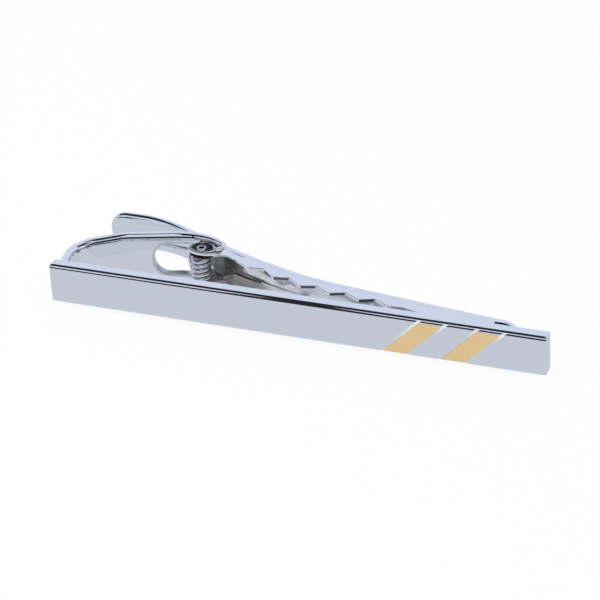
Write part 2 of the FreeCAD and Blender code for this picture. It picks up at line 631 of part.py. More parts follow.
def make_spring():
    """The torsion spring: a leg over the window's rim, turns round the pin, and a leg on the lever's inside."""
    radius = value("layout.coil_radius")
    wire = value("dims.wire_diameter")
    axis = Vector(value("layout.pin_x"), value("dims.pin_depth"), 0)
    low = -value("layout.coil_z")

    to_rim = Vector(value("layout.rim_x"), value("layout.rim_y"), 0) - axis
    first_angle = math.atan2(to_rim.y, to_rim.x) - math.acos(radius / to_rim.Length)
    to_lever = Vector(value("layout.lever_leg_x"), value("layout.lever_leg_y"), 0) - axis
    last_angle = math.atan2(to_lever.y, to_lever.x) + math.acos(radius / to_lever.Length)
    part_turn = (first_angle - last_angle) % (2 * math.pi)
    turning = part_turn + 2 * math.pi * value("dims.coil_full_turns")

    quarters = math.ceil(turning / (math.pi / 2))
    lift = -2 * low / (quarters - 1)
    points = []
    tangents = []
    for quarter in range(quarters + 1):
        angle = first_angle - turning * quarter / quarters
        height = low + lift * min(max(quarter - 0.5, 0), quarters - 1)
        level = quarter in (0, quarters)
        slope = 0 if level else lift / (radius * turning / quarters)
        points.append(axis + Vector(radius * math.cos(angle), radius * math.sin(angle), height))
        tangents.append(Vector(math.sin(angle), -math.cos(angle), slope).normalize())
    over_rim = math.sqrt(to_rim.Length ** 2 - radius ** 2) + value("dims.arm_leg_past")
    arm_end = points[0] - tangents[0] * over_rim
    curves = [Part.LineSegment(arm_end, points[0])]
    for quarter in range(quarters):
        curves += biarc(points[quarter], tangents[quarter], points[quarter + 1], tangents[quarter + 1])
    lever_end = points[-1] + tangents[-1] * math.sqrt(to_lever.Length ** 2 - radius ** 2)
    curves.append(Part.LineSegment(points[-1], lever_end))

    edges = [curve.toShape() for curve in curves]
    path = Part.Wire(edges)
    section = Part.Wire(Part.Circle(arm_end, tangents[0], wire / 2).toShape())
    tube = path.makePipeShell([section], True, False)
    spring = doc.addObject("Part::Feature", "torsion_spring")
    spring.Label = "torsion_spring"
    spring.Shape = tube
    spring.Placement = Placement(Vector(0, value("layout.shift_y"), value("layout.shift_z")), Rotation())
    print(f"spring: {turning / (2 * math.pi):.2f} turns, least gap to itself {least_gap(edges, wire):.3f} mm,")
    swept = math.pi * wire ** 2 / 4 * path.Length
    print(f"  volume {tube.Volume:.3f} mm3, section times length {swept:.3f} mm3")
    return spring


sub_parts = make_bar() + [make_arm(), make_pin(), make_lever(), make_strip(), make_spring()]
doc.recompute()

for item in doc.Objects:
    if "Invalid" in item.State or "Error" in item.State:
        raise RuntimeError(f"{item.Label} failed: {item.State}")
for part in sub_parts:
    if part.Shape.isNull() or not part.Shape.isValid():
        raise RuntimeError(f"{part.Label} has no valid shape")

os.makedirs("parts", exist_ok=True)
for part in sub_parts:
    part.Shape.exportStep(os.path.join("parts", part.Label + ".step"))
    box = part.Shape.BoundBox
    print(f"{part.Label}: {len(part.Shape.Solids)} solid, {part.Shape.Volume:.2f} mm3,"
          f" {box.XLength:.2f} x {box.YLength:.2f} x {box.ZLength:.2f} mm")
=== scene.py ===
import math

import bmesh
import bpy
import numpy as np
from mathutils import Matrix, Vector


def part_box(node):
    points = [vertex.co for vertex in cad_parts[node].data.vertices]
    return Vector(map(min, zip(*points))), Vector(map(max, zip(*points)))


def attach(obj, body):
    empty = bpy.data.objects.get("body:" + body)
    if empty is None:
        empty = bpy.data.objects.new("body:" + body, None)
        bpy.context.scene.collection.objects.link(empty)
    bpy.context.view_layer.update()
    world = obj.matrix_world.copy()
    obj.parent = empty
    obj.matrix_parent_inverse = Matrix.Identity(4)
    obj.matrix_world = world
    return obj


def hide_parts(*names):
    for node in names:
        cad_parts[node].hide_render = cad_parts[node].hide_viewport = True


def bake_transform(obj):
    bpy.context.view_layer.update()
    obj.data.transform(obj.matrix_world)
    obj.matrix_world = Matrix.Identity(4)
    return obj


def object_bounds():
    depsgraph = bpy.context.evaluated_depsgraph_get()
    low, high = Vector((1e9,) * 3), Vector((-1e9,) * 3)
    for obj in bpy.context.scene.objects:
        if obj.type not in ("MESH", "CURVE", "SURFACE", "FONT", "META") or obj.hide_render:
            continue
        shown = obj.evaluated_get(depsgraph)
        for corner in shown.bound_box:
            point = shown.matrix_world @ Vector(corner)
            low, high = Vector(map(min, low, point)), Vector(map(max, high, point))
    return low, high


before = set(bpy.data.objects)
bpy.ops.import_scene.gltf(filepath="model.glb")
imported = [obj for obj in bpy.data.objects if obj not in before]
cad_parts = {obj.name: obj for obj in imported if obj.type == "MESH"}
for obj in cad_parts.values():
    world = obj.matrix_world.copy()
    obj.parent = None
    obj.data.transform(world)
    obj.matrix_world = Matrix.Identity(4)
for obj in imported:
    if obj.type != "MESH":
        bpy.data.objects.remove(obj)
cad_low, cad_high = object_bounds()

# Places are in millimetres: X along the bar from its middle, Y back from its front face, Z from mid-height.
MM = 0.001
FRONT = cad_low.y / MM
MIDDLE = (cad_low.z + cad_high.z) / 2 / MM


def box_of(node):
    """Lowest and highest corner of a CAD node, in the clip's millimetres."""
    shift = np.array((0, FRONT, MIDDLE))
    return [np.array(corner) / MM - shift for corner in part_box(node)]


def row_frame(points):
    """Places in the clip's millimetres as metres in the row frame."""
    return (np.asarray(points, float) + (0, FRONT, MIDDLE)) * MM


# Sizes read from the CAD nodes
(BAR_LEFT, _, _), (BAR_RIGHT, BAR_BACK, BAR_TOP) = box_of("front_bar")
_, (_, _, ARM_TOP) = box_of("return_arm")
PIN_X, PIN_Y, _ = sum(box_of("hinge_pin")) / 2
(THUMB_X, _, _), (TIP_X, LEVER_BACK, _) = box_of("clip_lever")
_, (STRIP_END_X, _, _) = box_of("grip_strip")
STRIPE_MIDDLES = [sum(box_of(node))[0] / 2 for node in ("gold_stripe_left", "gold_stripe_right")]

# Places of the materials in each piece's list, after its plain one
PLAIN = 0
# Painted highlights on the bar's channel walls, pale and white
BAR_PALE_HIGHLIGHT, BAR_WHITE_HIGHLIGHT = range(1, 3)
# On the arm, one place is a painted highlight and one painted shade, both in the collar
ARM_CUT_EDGE, ARM_SATIN, ARM_HIGHLIGHT, ARM_SHADE = range(1, 5)
# On the lever: painted shade on the hollow, ears and ramp, a painted shadow line and a painted highlight
# streak
LEVER_SHADE, LEVER_SHADOW_LINE, LEVER_HIGHLIGHT_STREAK, LEVER_RAMP = range(1, 5)
# On the strip: painted shade on the teeth's falling flanks, painted reflections on the web, painted
# highlights on the teeth's corners
STRIP_SHADED_FLANK, STRIP_WEB, STRIP_CORNER_HIGHLIGHT = range(1, 4)
# The pin's head is painted dark as shade
PIN_SHADE = 1

# Front bar and stripes
BAR_EDGE = 0.5
BAR_BACK_EDGE = 0.12
BAR_FOOT_EDGE = 0.07
BAR_END_EDGE = 0.05
BAR_CORNER = 0.22
LEAST_CORNER = 0.04
END_BLEND = 2
SPARSE_TO_X = 6
CLOSE_FROM_X = 8
CREASE = 0.012
STRIPE_WIDTH = 2.6
STRIPE_OVERLAP = 0.02
STRIPE_LEAN = 0.99
LEAN_BEGINS = 8
LEAN_FULL = 3
LEAN_ENDS = 0.6
STRIPE_WALL = 0.5
STRIPE_FLOOR = 0.14
STRIPE_SINK = 0.05
STRIPE_BODY = 0.1
STRIPE_EDGE_ROWS = 6
STRIPE_FOOT_ROWS = 15
WALL_MORE_ROWS = 4
TOP_FADE_DEPTH = 0.06
TOP_FADE = 0.05
FOOT_FADE_DEPTH = 0.6
FOOT_FADE = 0.1

# Return arm, with the bends of its roll measured from the pin. Its edges are shares of the sheet.
ARM_BACK = 0.4
ARM_FRONT = -0.65
ARM_FRONT_EDGE = 0.48
ARM_BACK_EDGE = 0.14
ARM_BEND = 3.1
ARM_INSET = 0.8
ARM_ROOT = 0.2
ARM_RISE = math.radians(17.5)
BOW_X = -15.827
BOW_Y = 10.537
BOW_RADIUS = 8.4
BOW_LEAD = 1
ROLL_BENDS = ((0.75, 1.65, 3), (2.7, 0.52, 0.6), (1.75, -0.6))
ROLL_FRONT = -0.28
ROLL_BACK = 0.26
ROLL_THINS = 0.05
SATIN_LENGTH = 4.2
SATIN_ROWS = 3
SHOULDER_X = -28.8
FORK_X = -23.8
SHOULDER_RADIUS = 6.0
WINDOW_X = -20.6
WINDOW_TOP = 2.1
WINDOW_CORNER = 2.0
WINDOW_EDGE = 0.25
WINDOW_RUN = 3.5
PRONG_END = 2.86
PRONG_NARROWS = 3.2
PRONG_NARROW = 0.8
PRONG_BEND = 3

# Collar and eye of the roll, measured from the pin
COLLAR_TOP = 2.8
COLLAR_X = 0.6
COLLAR_Y = -0.4
COLLAR_HALF_WIDTH = 2.11
COLLAR_BACK = 1.9
COLLAR_FRONT = 1.2
EYE_X = 0.05
EYE_HALF_WIDTH = 1.4
EYE_BACK = 1.4
EYE_FRONT = 0.78

# Lever
LEVER_THICKNESS = 0.7
THUMB_FRONT = -0.12
NECK_ANGLE = math.radians(24.5)
JAW_ANGLE = math.radians(7.2)
NECK_REACH = 2.45
THUMB_BEND = 16.0
JAW_BEND = 42.0
JAW_END_X = 24.1
JAW_END_Y = 2.2
TIP_ANGLE = math.radians(8)
TIP_BEND = 4.0
THUMB_TOP = 2.26
THUMB_INSET = 0.2
THUMB_CORNER = 2.2
THUMB_END_X = -23.4
NECK_START_X = -17.6
NECK_END_X = -11
JAW_START_X = -5.5
NECK_TOP = 1.95
JAW_TOP = 2.2
TIP_CORNER = 2.1
OUTLINE_BEND = 6
THUMB_THINS = (-22, -16)
THUMB_EDGE = 0.55
JAW_EDGE = 0.012
THUMB_BACK_EDGE = 0.14
JAW_BACK_EDGE = 0.1

# Ears, hollow and ramp of the neck, with places along the lever and distances off it
EAR_RADIUS = 1.2
EAR_CORNER = 1.15
EAR_EDGE = 0.05
EAR_ROOT = 0.2
EAR_MIDDLE = 1.5
EAR_INSET = 0.01
UPPER_EAR_GAP = 0.02
LOWER_EAR_GAP = 0.05
# Ear faces nearer the lever than this take painted shade
EAR_SHADE_OFF = 0.3
ARCH_OFF = 1.4
ARCH_END = 4.6
HOLLOW_PLACES = (-0.9, 2.2, 4.25)
HOLLOW_DEPTHS = (0.95, 0.95, 0.3)
HOLLOW_TOP = 1.75
HOLLOW_BRIM = 0.03
HOLLOW_FLOOR = 0.04
HOLLOW_LIP = 0.06
HOLLOW_ROOT = 0.3
RAMP_PLACES = (1.2, 2.4, 3.3, 8, 12)
RAMP_HEADS = (-1.45, -0.75, -0.26, -0.02, 0.05)
RAMP_STEPS = (0.3, 0.3, 0.3, 0.16, 0.2)
RAMP_TURN = 7.6
RAMP_ROOT = 0.1
RAMP_BACK = 0.5
RAMP_BEVEL = 0.06
RAMP_FOOT_OFF = 1.2
RAMP_FOOT = -1.5

# Grip strip, distances along the lever from the foot of the hinge's perpendicular
STRIP_SHEET = 0.3
STRIP_LIP = 0.42
STRIP_ROOT = 0.2
STRIP_BEND = 0.09
STRIP_HEM = 0.08
STRIP_INSET = 0.004
WEB_GAP = 0.02
LEAST_LIP = 0.05
LIP_ROWS = range(4, 12)
STRIP_START = 4.2
STRIP_LEAD_OFF = 1.3
FIRST_CREST = 6.4
CREST_PITCH = 3.69
CREST_COUNT = 6
LAST_CREST = 28.7
CREST_OFF = 1.65
LAST_OFF = 1.66
LAST_VALLEY_OFF = 1.35
VALLEY_OFF = 0.78
VALLEY_SHARE = 0.47
END_OFF = 0.55
CREST_RADIUS = 0.3
FLANK_FALL = 0.02
CORNER_DEPTH = 0.08
TOOTH_REACH = 2

# Pin and spring
COIL_X = PIN_X - 0.28
PIN_SIDES = 64
SHANK_RADIUS = 0.42
HEAD_FOOT = 2.1
HEAD_RADIUS = 1.45
HEAD_TOP = 2.64
RING_RADIUS = 0.56
RING_TOP = 2.86
RING_ROWS = range(9, 14)
WIRE = 0.5
COIL_RADIUS = 0.96
SPRING_X = COIL_X - 0.18
COIL_LOW = -1.14
COIL_HIGH = 1.5
COIL_TURNS = 4
PART_TURN = 0.6
LEVEL_TURN = 0.12
SINKING_TURN = 0.36
RIM_REST = (-20.128, 9.9)
LEVER_REST = (-17.545, 12.205)
LEG_OVERHANG = 0.9

# Meshes, in metres
MERGE_DISTANCE = 2e-7
SLIVER = 1e-8
SHARP_ANGLE = math.radians(50)

# Camera, fitted to the photograph
CAMERA_AZIMUTH = 21.785
CAMERA_ELEVATION = 30.418
CAMERA_ROLL = -3.043
CAMERA_DISTANCE = 274.99
CAMERA_TARGET = (1.325, 0, 2.687)
CAMERA_FOCAL_PIXELS = 2441.7
IMAGE_WIDTH = 600
SENSOR_WIDTH = 36

# Cards, as angles to the side and up, and the floor, in metres
CARD_DISTANCE = 0.6
CANOPY_LOW = 40
CANOPY_HIGH = 118
FRONT_LOW = 1
FRONT_PLACES = (-32, -26, -16, -12)
FRONT_HEADS = (9, 11, 14, 16)
SWELL_PLACE = -18.2
SWELL_WIDTH = 2.0
SWELL_HEIGHT = 29
FLOOR_HALF = 1.5


class Line:
    """A line in a plane, as arrays of length, place and heading."""

    def __init__(self, start, heading, runs, step):
        """Runs are (length, turn). The heading turns evenly in each, and the place is its running sum."""
        lengths, turns = np.array(runs, float).T
        knots = np.concatenate([[0], np.cumsum(lengths)])
        headings = heading + np.concatenate([[0], np.cumsum(turns)])
        even = np.linspace(0, knots[-1], int(knots[-1] / step) + 2)
        self.s = np.unique(np.round(np.concatenate([even, knots]), 6))
        self.h = np.interp(self.s, knots, headings)
        middle = (self.h[1:] + self.h[:-1]) / 2
        pace = np.diff(self.s)
        self.x = start[0] + np.concatenate([[0], np.cumsum(pace * np.cos(middle))])
        self.y = start[1] + np.concatenate([[0], np.cumsum(pace * np.sin(middle))])

    def at(self, s, off=0):
        """The place at a length along the line, moved off to its left."""
        h = np.interp(s, self.s, self.h)
        x = np.interp(s, self.s, self.x) - np.sin(h) * off
        y = np.interp(s, self.s, self.y) + np.cos(h) * off
        return x, y

    def length_at(self, x):
        """The length along a line that runs steadily to the right where it reaches x."""
        return np.interp(x, self.x, self.s)


def corner_runs(corners):
    """Start, heading and runs through corners (x, y, radius): straights, and arcs that touch them."""
    spots = np.array([corner[:2] for corner in corners], float)
    radii = np.array([corner[2] if len(corner) > 2 else 0 for corner in corners[1:-1]])
    reach = np.diff(spots, axis=0)
    headings = np.unwrap(np.arctan2(reach[:, 1], reach[:, 0]))
    turns = np.diff(headings)
    cut = radii * np.tan(np.abs(turns) / 2)
    runs = np.zeros((2 * len(reach) - 1, 2))
    runs[0::2, 0] = np.hypot(*reach.T) - np.append(0, cut) - np.append(cut, 0)
    runs[1::2, 0] = radii * np.abs(turns)
    runs[1::2, 1] = turns
    return spots[0], headings[0], runs


def through(corners, step=0.05):
    """The line through corners (x, y, radius)."""
    return Line(*corner_runs(corners), step)


def soft_edge():
    """A rounded edge whose bend tightens on its way round: how far each point is in from the edge, and
    how far round from the face, as shares of its depth. Both are sums of radius times the change of
    sine or cosine."""
    turn = np.radians([0, 4, 8, 12, 15, 17, 19, 22, 26, 30, 36, 43, 51, 60, 69, 78, 84, 90])
    middle = np.degrees(turn[1:] + turn[:-1]) / 2
    radius = np.select([middle < 22, middle < 36], [2.0, 0.52], 0.43)
    along = np.append(0, np.cumsum(radius * np.diff(np.sin(turn))))
    round_it = np.append(0, np.cumsum(-radius * np.diff(np.cos(turn))))
    return (along[-1] - along) / round_it[-1], round_it / round_it[-1]


EDGE_IN, EDGE_ROUND = soft_edge()
HOLD = 0.05


def rim_rows(inner, outer, front_edge, back_edge):
    """Rows over a sheet's rim from inner to outer face: insets and offsets, one row per column."""
    sizes = (inner, outer, front_edge, back_edge)
    sizes = [np.atleast_1d(np.asarray(size, float))[:, None] for size in sizes]
    inner, outer, front_edge, back_edge = np.broadcast_arrays(*sizes)
    inset = np.hstack([
        front_edge * EDGE_IN[0] + HOLD,
        front_edge * EDGE_IN,
        back_edge * EDGE_IN[::-1],
        back_edge * EDGE_IN[0] + HOLD,
    ])
    offset = np.hstack([
        inner,
        inner + front_edge * EDGE_ROUND,
        outer - back_edge * EDGE_ROUND[::-1],
        outer,
    ])
    return inset, offset


def skin(grid, across=False):
    """Vertices and four-sided faces over a grid, joined from its last row to its first if across."""
    columns, rows = grid.shape[:2]
    index = np.arange(columns * rows).reshape(columns, rows)
    if across:
        index = np.hstack([index, index[:, :1]])
    faces = np.stack([index[:-1, :-1], index[1:, :-1], index[1:, 1:], index[:-1, 1:]], axis=-1)
    return grid.reshape(-1, 3), faces.reshape(-1, 4)


def mirrored(part):
    """The same surface on the other side of mid-height."""
    points, faces, *rest = part
    return points * (1, 1, -1), faces[:, ::-1], *rest


def bent_sheet(plan, outline, inner, outer, front_edge, back_edge):
    """A bent sheet with softened edges. The upper half of its outline is stepped in and carried over
    the rim, lengths along the outline are laid along the plan, offsets across it, and the lower half is
    the upper one mirrored."""
    inset, offset = rim_rows(inner, outer, front_edge, back_edge)
    along = plan.length_at(outline.x)[:, None] + inset * np.sin(outline.h)[:, None]
    height = outline.y[:, None] - inset * np.cos(outline.h)[:, None]
    x, y = plan.at(along, offset + 0 * along)
    upper = np.stack([x, y, height], axis=-1)
    lower = upper[:, ::-1] * (1, 1, -1)
    return skin(np.concatenate([upper, lower], axis=1), across=True)


def turned(profile, x, y, count):
    """A profile of (radius, height) carried round an upright axis."""
    radius, height = np.array(profile, float).T
    angle = np.linspace(0, 2 * np.pi, count + 1)[:, None]
    grid = [x + radius * np.cos(angle), y + radius * np.sin(angle), height + 0 * angle]
    return skin(np.stack(grid, axis=-1))


def tube(path, radius, sides=14):
    """A round section carried along a path that never turns upright, each ring square to it."""
    along = np.gradient(path, axis=0)
    along /= np.linalg.norm(along, axis=1, keepdims=True)
    side = np.cross(along, (0, 0, 1))
    side /= np.linalg.norm(side, axis=1, keepdims=True)
    upward = np.cross(side, along)
    angle = np.linspace(0, 2 * np.pi, sides, endpoint=False)[None, :, None]
    grid = path[:, None] + radius * (np.cos(angle) * side[:, None] + np.sin(angle) * upward[:, None])
    return skin(grid, across=True)


def rod_ends(path, radius, share=0.3):
    """The path lengthened at both ends, with radii that round them off by a quarter circle."""
    angle = np.linspace(0, np.pi / 2, 6)[:-1]
    first = path[0] - path[1]
    last = path[-1] - path[-2]
    first /= np.linalg.norm(first)
    last /= np.linalg.norm(last)
    steps = (radius * share * np.cos(angle))[:, None]
    full = np.vstack([path[0] + first * steps, path, path[-1] + last * steps[::-1]])
    shrink = radius * (1 - share + share * np.sin(angle))
    radii = np.concatenate([shrink, np.full(len(path), radius), shrink[::-1]])
    return full, radii[:, None, None]


# The bar


def bar_rows(edge):
    """Rows over the bar's rim, front to back, for a size of front edge: half length, half height,
    corner, and the depth from the front face along the bar and at its ends."""
    height_in, depth = rim_rows(0, BAR_BACK, edge, BAR_BACK_EDGE)
    end_in, end_depth = rim_rows(0, BAR_BACK, BAR_END_EDGE, BAR_BACK_EDGE)
    corner = np.maximum(BAR_CORNER - np.minimum(height_in, end_in), LEAST_CORNER)
    return [row[0] for row in (BAR_RIGHT - end_in, BAR_TOP - height_in, corner, depth, end_depth)]


def stripe_lean(x):
    """How far the bar's columns lean per unit of height: as the stripes do, upright elsewhere."""
    left, right = STRIPE_MIDDLES
    stops = (left - LEAN_BEGINS, left - LEAN_FULL, right + LEAN_FULL, BAR_RIGHT - LEAN_ENDS)
    return np.interp(x, stops, (0, STRIPE_LEAN, STRIPE_LEAN, 0))


def stripe_borders():
    """Along the bar, the foot and head of each stripe channel's two slanting walls."""
    half = STRIPE_WIDTH / 2
    steps = np.array((-half - STRIPE_WALL, -half, half, half + STRIPE_WALL))
    return np.add.outer(STRIPE_MIDDLES, steps)


def front_bar():
    """The bar: upper halves of rounded rectangles, one per row of the rim, from the left end's middle
    over the top to the right end's, and lower halves with a sharper front edge. Columns lean with the
    stripes, and each stripe's channel, a flat floor between two slanting bright-cut walls, sinks the
    front rows. It fades out below the top edge and runs on round the bottom one."""
    borders = stripe_borders().ravel()
    limit = BAR_RIGHT - BAR_CORNER
    sparse = np.linspace(-limit, SPARSE_TO_X, 13)[1:]
    close = np.linspace(CLOSE_FROM_X, limit, 24)[:-1]
    creases = (borders[:, None] + (-CREASE, CREASE)).ravel()
    columns = np.unique(np.concatenate([sparse, close, creases]))
    sweep = np.linspace(np.pi, np.pi / 2, 9)
    end = np.full(len(sweep) + 1, limit)
    middle = np.concatenate([-end, columns, end])[:, None]
    across = np.concatenate([[-1], np.cos(sweep), 0 * columns, -np.cos(sweep[::-1]), [1]])[:, None]
    upward = np.concatenate([[0], np.sin(sweep), 0 * columns + 1, np.sin(sweep[::-1]), [0]])[:, None]
    level = np.concatenate([[0], np.ones(len(columns) + 2 * len(sweep)), [0]])[:, None]
    pull = np.clip((np.abs(middle) - limit + END_BLEND) / END_BLEND, 0, 1) * np.sign(middle)
    channel = np.interp(middle, borders, (0, STRIPE_FLOOR, STRIPE_FLOOR, 0) * 2)

    def half(edge, side, fade_depth, fade):
        """The upper (side 1) or lower (side -1) half, its channels fading out over a range of depth."""
        half_length, half_height, corner, depth, end_depth = bar_rows(edge)
        x = middle + pull * (half_length - corner - limit) + corner * across
        z = level * (half_height - corner) + corner * upward
        y = end_depth + (depth - end_depth) * upward + channel * np.clip((fade_depth - depth) / fade, 0, 1)
        return np.stack([x + side * stripe_lean(middle) * z, y, side * z], axis=-1)

    upper = half(BAR_EDGE, 1, TOP_FADE_DEPTH, TOP_FADE)
    lower = half(BAR_FOOT_EDGE, -1, FOOT_FADE_DEPTH, FOOT_FADE)[:, ::-1]
    points, faces = skin(np.concatenate([upper, lower], axis=1), across=True)
    between = (middle[1:] + middle[:-1]) / 2
    wall = np.interp(between, borders, np.arange(len(borders)))
    in_wall = (np.floor(wall) % 2 == 0) & (wall > 0) & (wall < len(borders) - 1)
    rows = np.arange(upper.shape[1] * 2)
    front = (rows < STRIPE_EDGE_ROWS + WALL_MORE_ROWS) | (rows[::-1] < STRIPE_FOOT_ROWS)
    # The front rows of the channel walls take painted highlights: white on the left stripe's left wall,
    # pale on the others.
    border = np.where(wall < 1, BAR_WHITE_HIGHLIGHT, BAR_PALE_HIGHLIGHT)
    kinds = np.where(in_wall & front[None, :], border, PLAIN)
    return points, faces, kinds.ravel()


def gold_stripe(middle):
    """A stripe: the bar's front rows between the stripe's borders, a little below the face, from the
    bottom edge's rounding up to the top edge's, closed behind on the channel's floor."""
    _, head_z, _, head_y, _ = bar_rows(BAR_EDGE)
    _, foot_z, _, foot_y, _ = bar_rows(BAR_FOOT_EDGE)
    head = slice(STRIPE_EDGE_ROWS)
    foot = slice(STRIPE_FOOT_ROWS - 1, None, -1)
    z = np.concatenate([-foot_z[foot], head_z[head]])
    front = np.concatenate([foot_y[foot], head_y[head]]) + STRIPE_SINK
    z = np.append(z, z[[-1, 0]])
    y = np.append(front, front[[-1, 0]] + STRIPE_BODY)
    half = STRIPE_WIDTH / 2 + STRIPE_OVERLAP
    x = (middle + np.linspace(-half, half, 9))[:, None]
    grid = np.stack([x + STRIPE_LEAN * z, y + 0 * x, z + 0 * x], axis=-1)
    return skin(grid, across=True)


# The return arm


def arm_plan():
    """The arm seen from above, on the line it was fitted by: off the bar's left end, round the bend, up
    to the bow, and from there over the pin and down into the hook of the roll."""
    left = BAR_LEFT + ARM_BACK
    bend_y = BOW_Y - (BOW_X - left) * math.tan(ARM_RISE)
    roll = [(PIN_X + bend[0], PIN_Y + bend[1], *bend[2:]) for bend in ROLL_BENDS]
    foot = (left + ARM_INSET, BAR_BACK - ARM_ROOT)
    corners = [foot, (left, bend_y, ARM_BEND), (BOW_X, BOW_Y, BOW_RADIUS), *roll]
    return through(corners, 0.04)


def return_arm():
    """The arm: its upper half from mid-height or the window's rim over the top edge and down the back,
    the window's rim from front to back, and both mirrored below. Window columns start round its end and
    then run straight. The sheet thins along the roll, and the prong narrows to its end."""
    plan = arm_plan()
    shoulder = through([
        (BAR_LEFT, BAR_TOP),
        (SHOULDER_X, BAR_TOP, SHOULDER_RADIUS),
        (FORK_X, ARM_TOP, SHOULDER_RADIUS),
        (0, ARM_TOP),
    ])
    end = plan.s[-1]
    nose = plan.s[np.argmax(plan.x)]
    bow = plan.s[np.argmax(plan.x > BOW_X - BOW_LEAD)]
    window_s = plan.s[np.argmax(plan.x > WINDOW_X)]
    window = through([
        (window_s, 0),
        (window_s, WINDOW_TOP, WINDOW_CORNER),
        (nose - PRONG_NARROWS, WINDOW_TOP, PRONG_BEND),
        (nose - PRONG_NARROW, PRONG_END, PRONG_BEND),
        (end, PRONG_END),
    ], 0.1)

    def sheet_rows(s, share):
        """Insets and offsets of the rim at lengths along the arm, with a share of its full edges."""
        inner = np.interp(s, (bow, nose, end), (ARM_FRONT, ROLL_FRONT, ROLL_FRONT + ROLL_THINS))
        outer = np.interp(s, (bow, nose, end), (ARM_BACK, ROLL_BACK, ROLL_BACK - ROLL_THINS))
        size = share * (outer - inner)
        return rim_rows(inner, outer, ARM_FRONT_EDGE * size, ARM_BACK_EDGE * size)

    rim_in, rim_off = sheet_rows(window.x, WINDOW_EDGE)
    rim_s = window.x[:, None] - rim_in * np.sin(window.h)[:, None]
    rim_z = window.y[:, None] + rim_in * np.cos(window.h)[:, None]
    start = rim_s[0, 0]
    solid = np.linspace(0, start, 130)[:-1]
    join = window.s[np.argmax(window.x > window_s + WINDOW_RUN)]
    round_end = start + (window_s + WINDOW_RUN - start) * window.s / join
    over = np.where(window.s < join, round_end, window.x)
    top_s = np.append(solid, over)
    top_x = np.interp(top_s, plan.s, plan.x)
    top_z = np.where(top_s < window_s, np.interp(top_x, shoulder.x, shoulder.y), ARM_TOP)
    edge_in, edge_off = sheet_rows(top_s, 1)
    base_s = np.append(solid, rim_s[:, 0])
    base_z = np.append(0 * solid, rim_z[:, 0])
    back_s = np.append(solid, rim_s[:, -1])
    back_z = np.append(0 * solid, rim_z[:, -1])
    base_off = np.append(edge_off[:len(solid), 0], rim_off[:, 0])
    back_off = np.append(edge_off[:len(solid), -1], rim_off[:, -1])

    s = np.column_stack([base_s, top_s[:, None] + 0 * edge_in, back_s])
    z = np.column_stack([base_z, top_z[:, None] - edge_in, back_z])
    off = np.column_stack([base_off, edge_off, back_off])
    points, faces = skin(np.stack([*plan.at(s, off), z], axis=-1))
    along = (top_s[1:] + top_s[:-1])[:, None] / 2
    row = np.arange(s.shape[1] - 1)
    satin = (along > nose - SATIN_LENGTH) & (row < SATIN_ROWS)
    shell = points, faces, np.where(satin, ARM_SATIN, PLAIN).ravel()
    rim = skin(np.stack([*plan.at(rim_s, rim_off), rim_z], axis=-1)[:, ::-1])
    cut = np.full(len(rim[1]), ARM_CUT_EDGE)
    collar = roll_collar()
    return [shell, mirrored(shell), (*rim, cut), mirrored((*rim, cut)), collar, mirrored(collar)]


def roll_collar():
    """The collar in the roll: an oval ring over the pin's head, dished towards a lens-shaped eye, which
    is a circle stretched sideways whose height goes with the square root of the sine's cube."""
    share = np.array((0, 0.02, 0.3, 0.6, 1, 1, 0.5, 0))
    height = COLLAR_TOP - np.array((0.16, 0.1, 0.06, 0.02, 0, 0.14, 0.16, 0.16))
    angle = np.linspace(0, 2 * np.pi, 97)[:, None]
    back = angle < np.pi
    eye_x = EYE_X + EYE_HALF_WIDTH * np.cos(angle)
    eye_y = np.where(back, EYE_BACK, EYE_FRONT) * np.sin(angle) * np.sqrt(np.abs(np.sin(angle)))
    oval_x = COLLAR_X + COLLAR_HALF_WIDTH * np.cos(angle)
    oval_y = COLLAR_Y + np.where(back, COLLAR_BACK, COLLAR_FRONT) * np.sin(angle)
    x = COIL_X + eye_x * (1 - share) + share * oval_x
    y = PIN_Y + eye_y * (1 - share) + share * oval_y
    points, faces = skin(np.stack([x, y, height + 0 * x], axis=-1))
    kinds = np.full(len(share) - 1, ARM_SATIN)
    # The collar's second ring is painted shade and its fourth a painted highlight.
    kinds[[2, 4]] = ARM_SHADE, ARM_HIGHLIGHT
    return points, faces, np.tile(kinds, len(angle) - 1)


# The lever and its strip


def lever_plan():
    """The lever's inner face seen from above: thumb end, neck, jaw and turned-out tip."""
    thumb_y = LEVER_BACK - LEVER_THICKNESS
    foot_x = PIN_X + NECK_REACH * math.sin(NECK_ANGLE)
    foot_y = PIN_Y + NECK_REACH * math.cos(NECK_ANGLE)
    neck = math.tan(NECK_ANGLE)
    jaw = math.tan(JAW_ANGLE)
    jaw_x = (foot_y + foot_x * neck - JAW_END_Y - JAW_END_X * jaw) / (neck - jaw)
    return through([
        (THUMB_X, thumb_y),
        (foot_x - (thumb_y - foot_y) / neck, thumb_y, THUMB_BEND),
        (jaw_x, foot_y - (jaw_x - foot_x) * neck, JAW_BEND),
        (JAW_END_X, JAW_END_Y, TIP_BEND),
        (TIP_X, JAW_END_Y + (TIP_X - JAW_END_X) * math.tan(TIP_ANGLE)),
    ]), foot_x


def neck_point(along, off):
    """A place beside the pin, along the neck and off towards the lever."""
    x = PIN_X + along * math.cos(NECK_ANGLE) + off * math.sin(NECK_ANGLE)
    y = PIN_Y - along * math.sin(NECK_ANGLE) + off * math.cos(NECK_ANGLE)
    return x, y


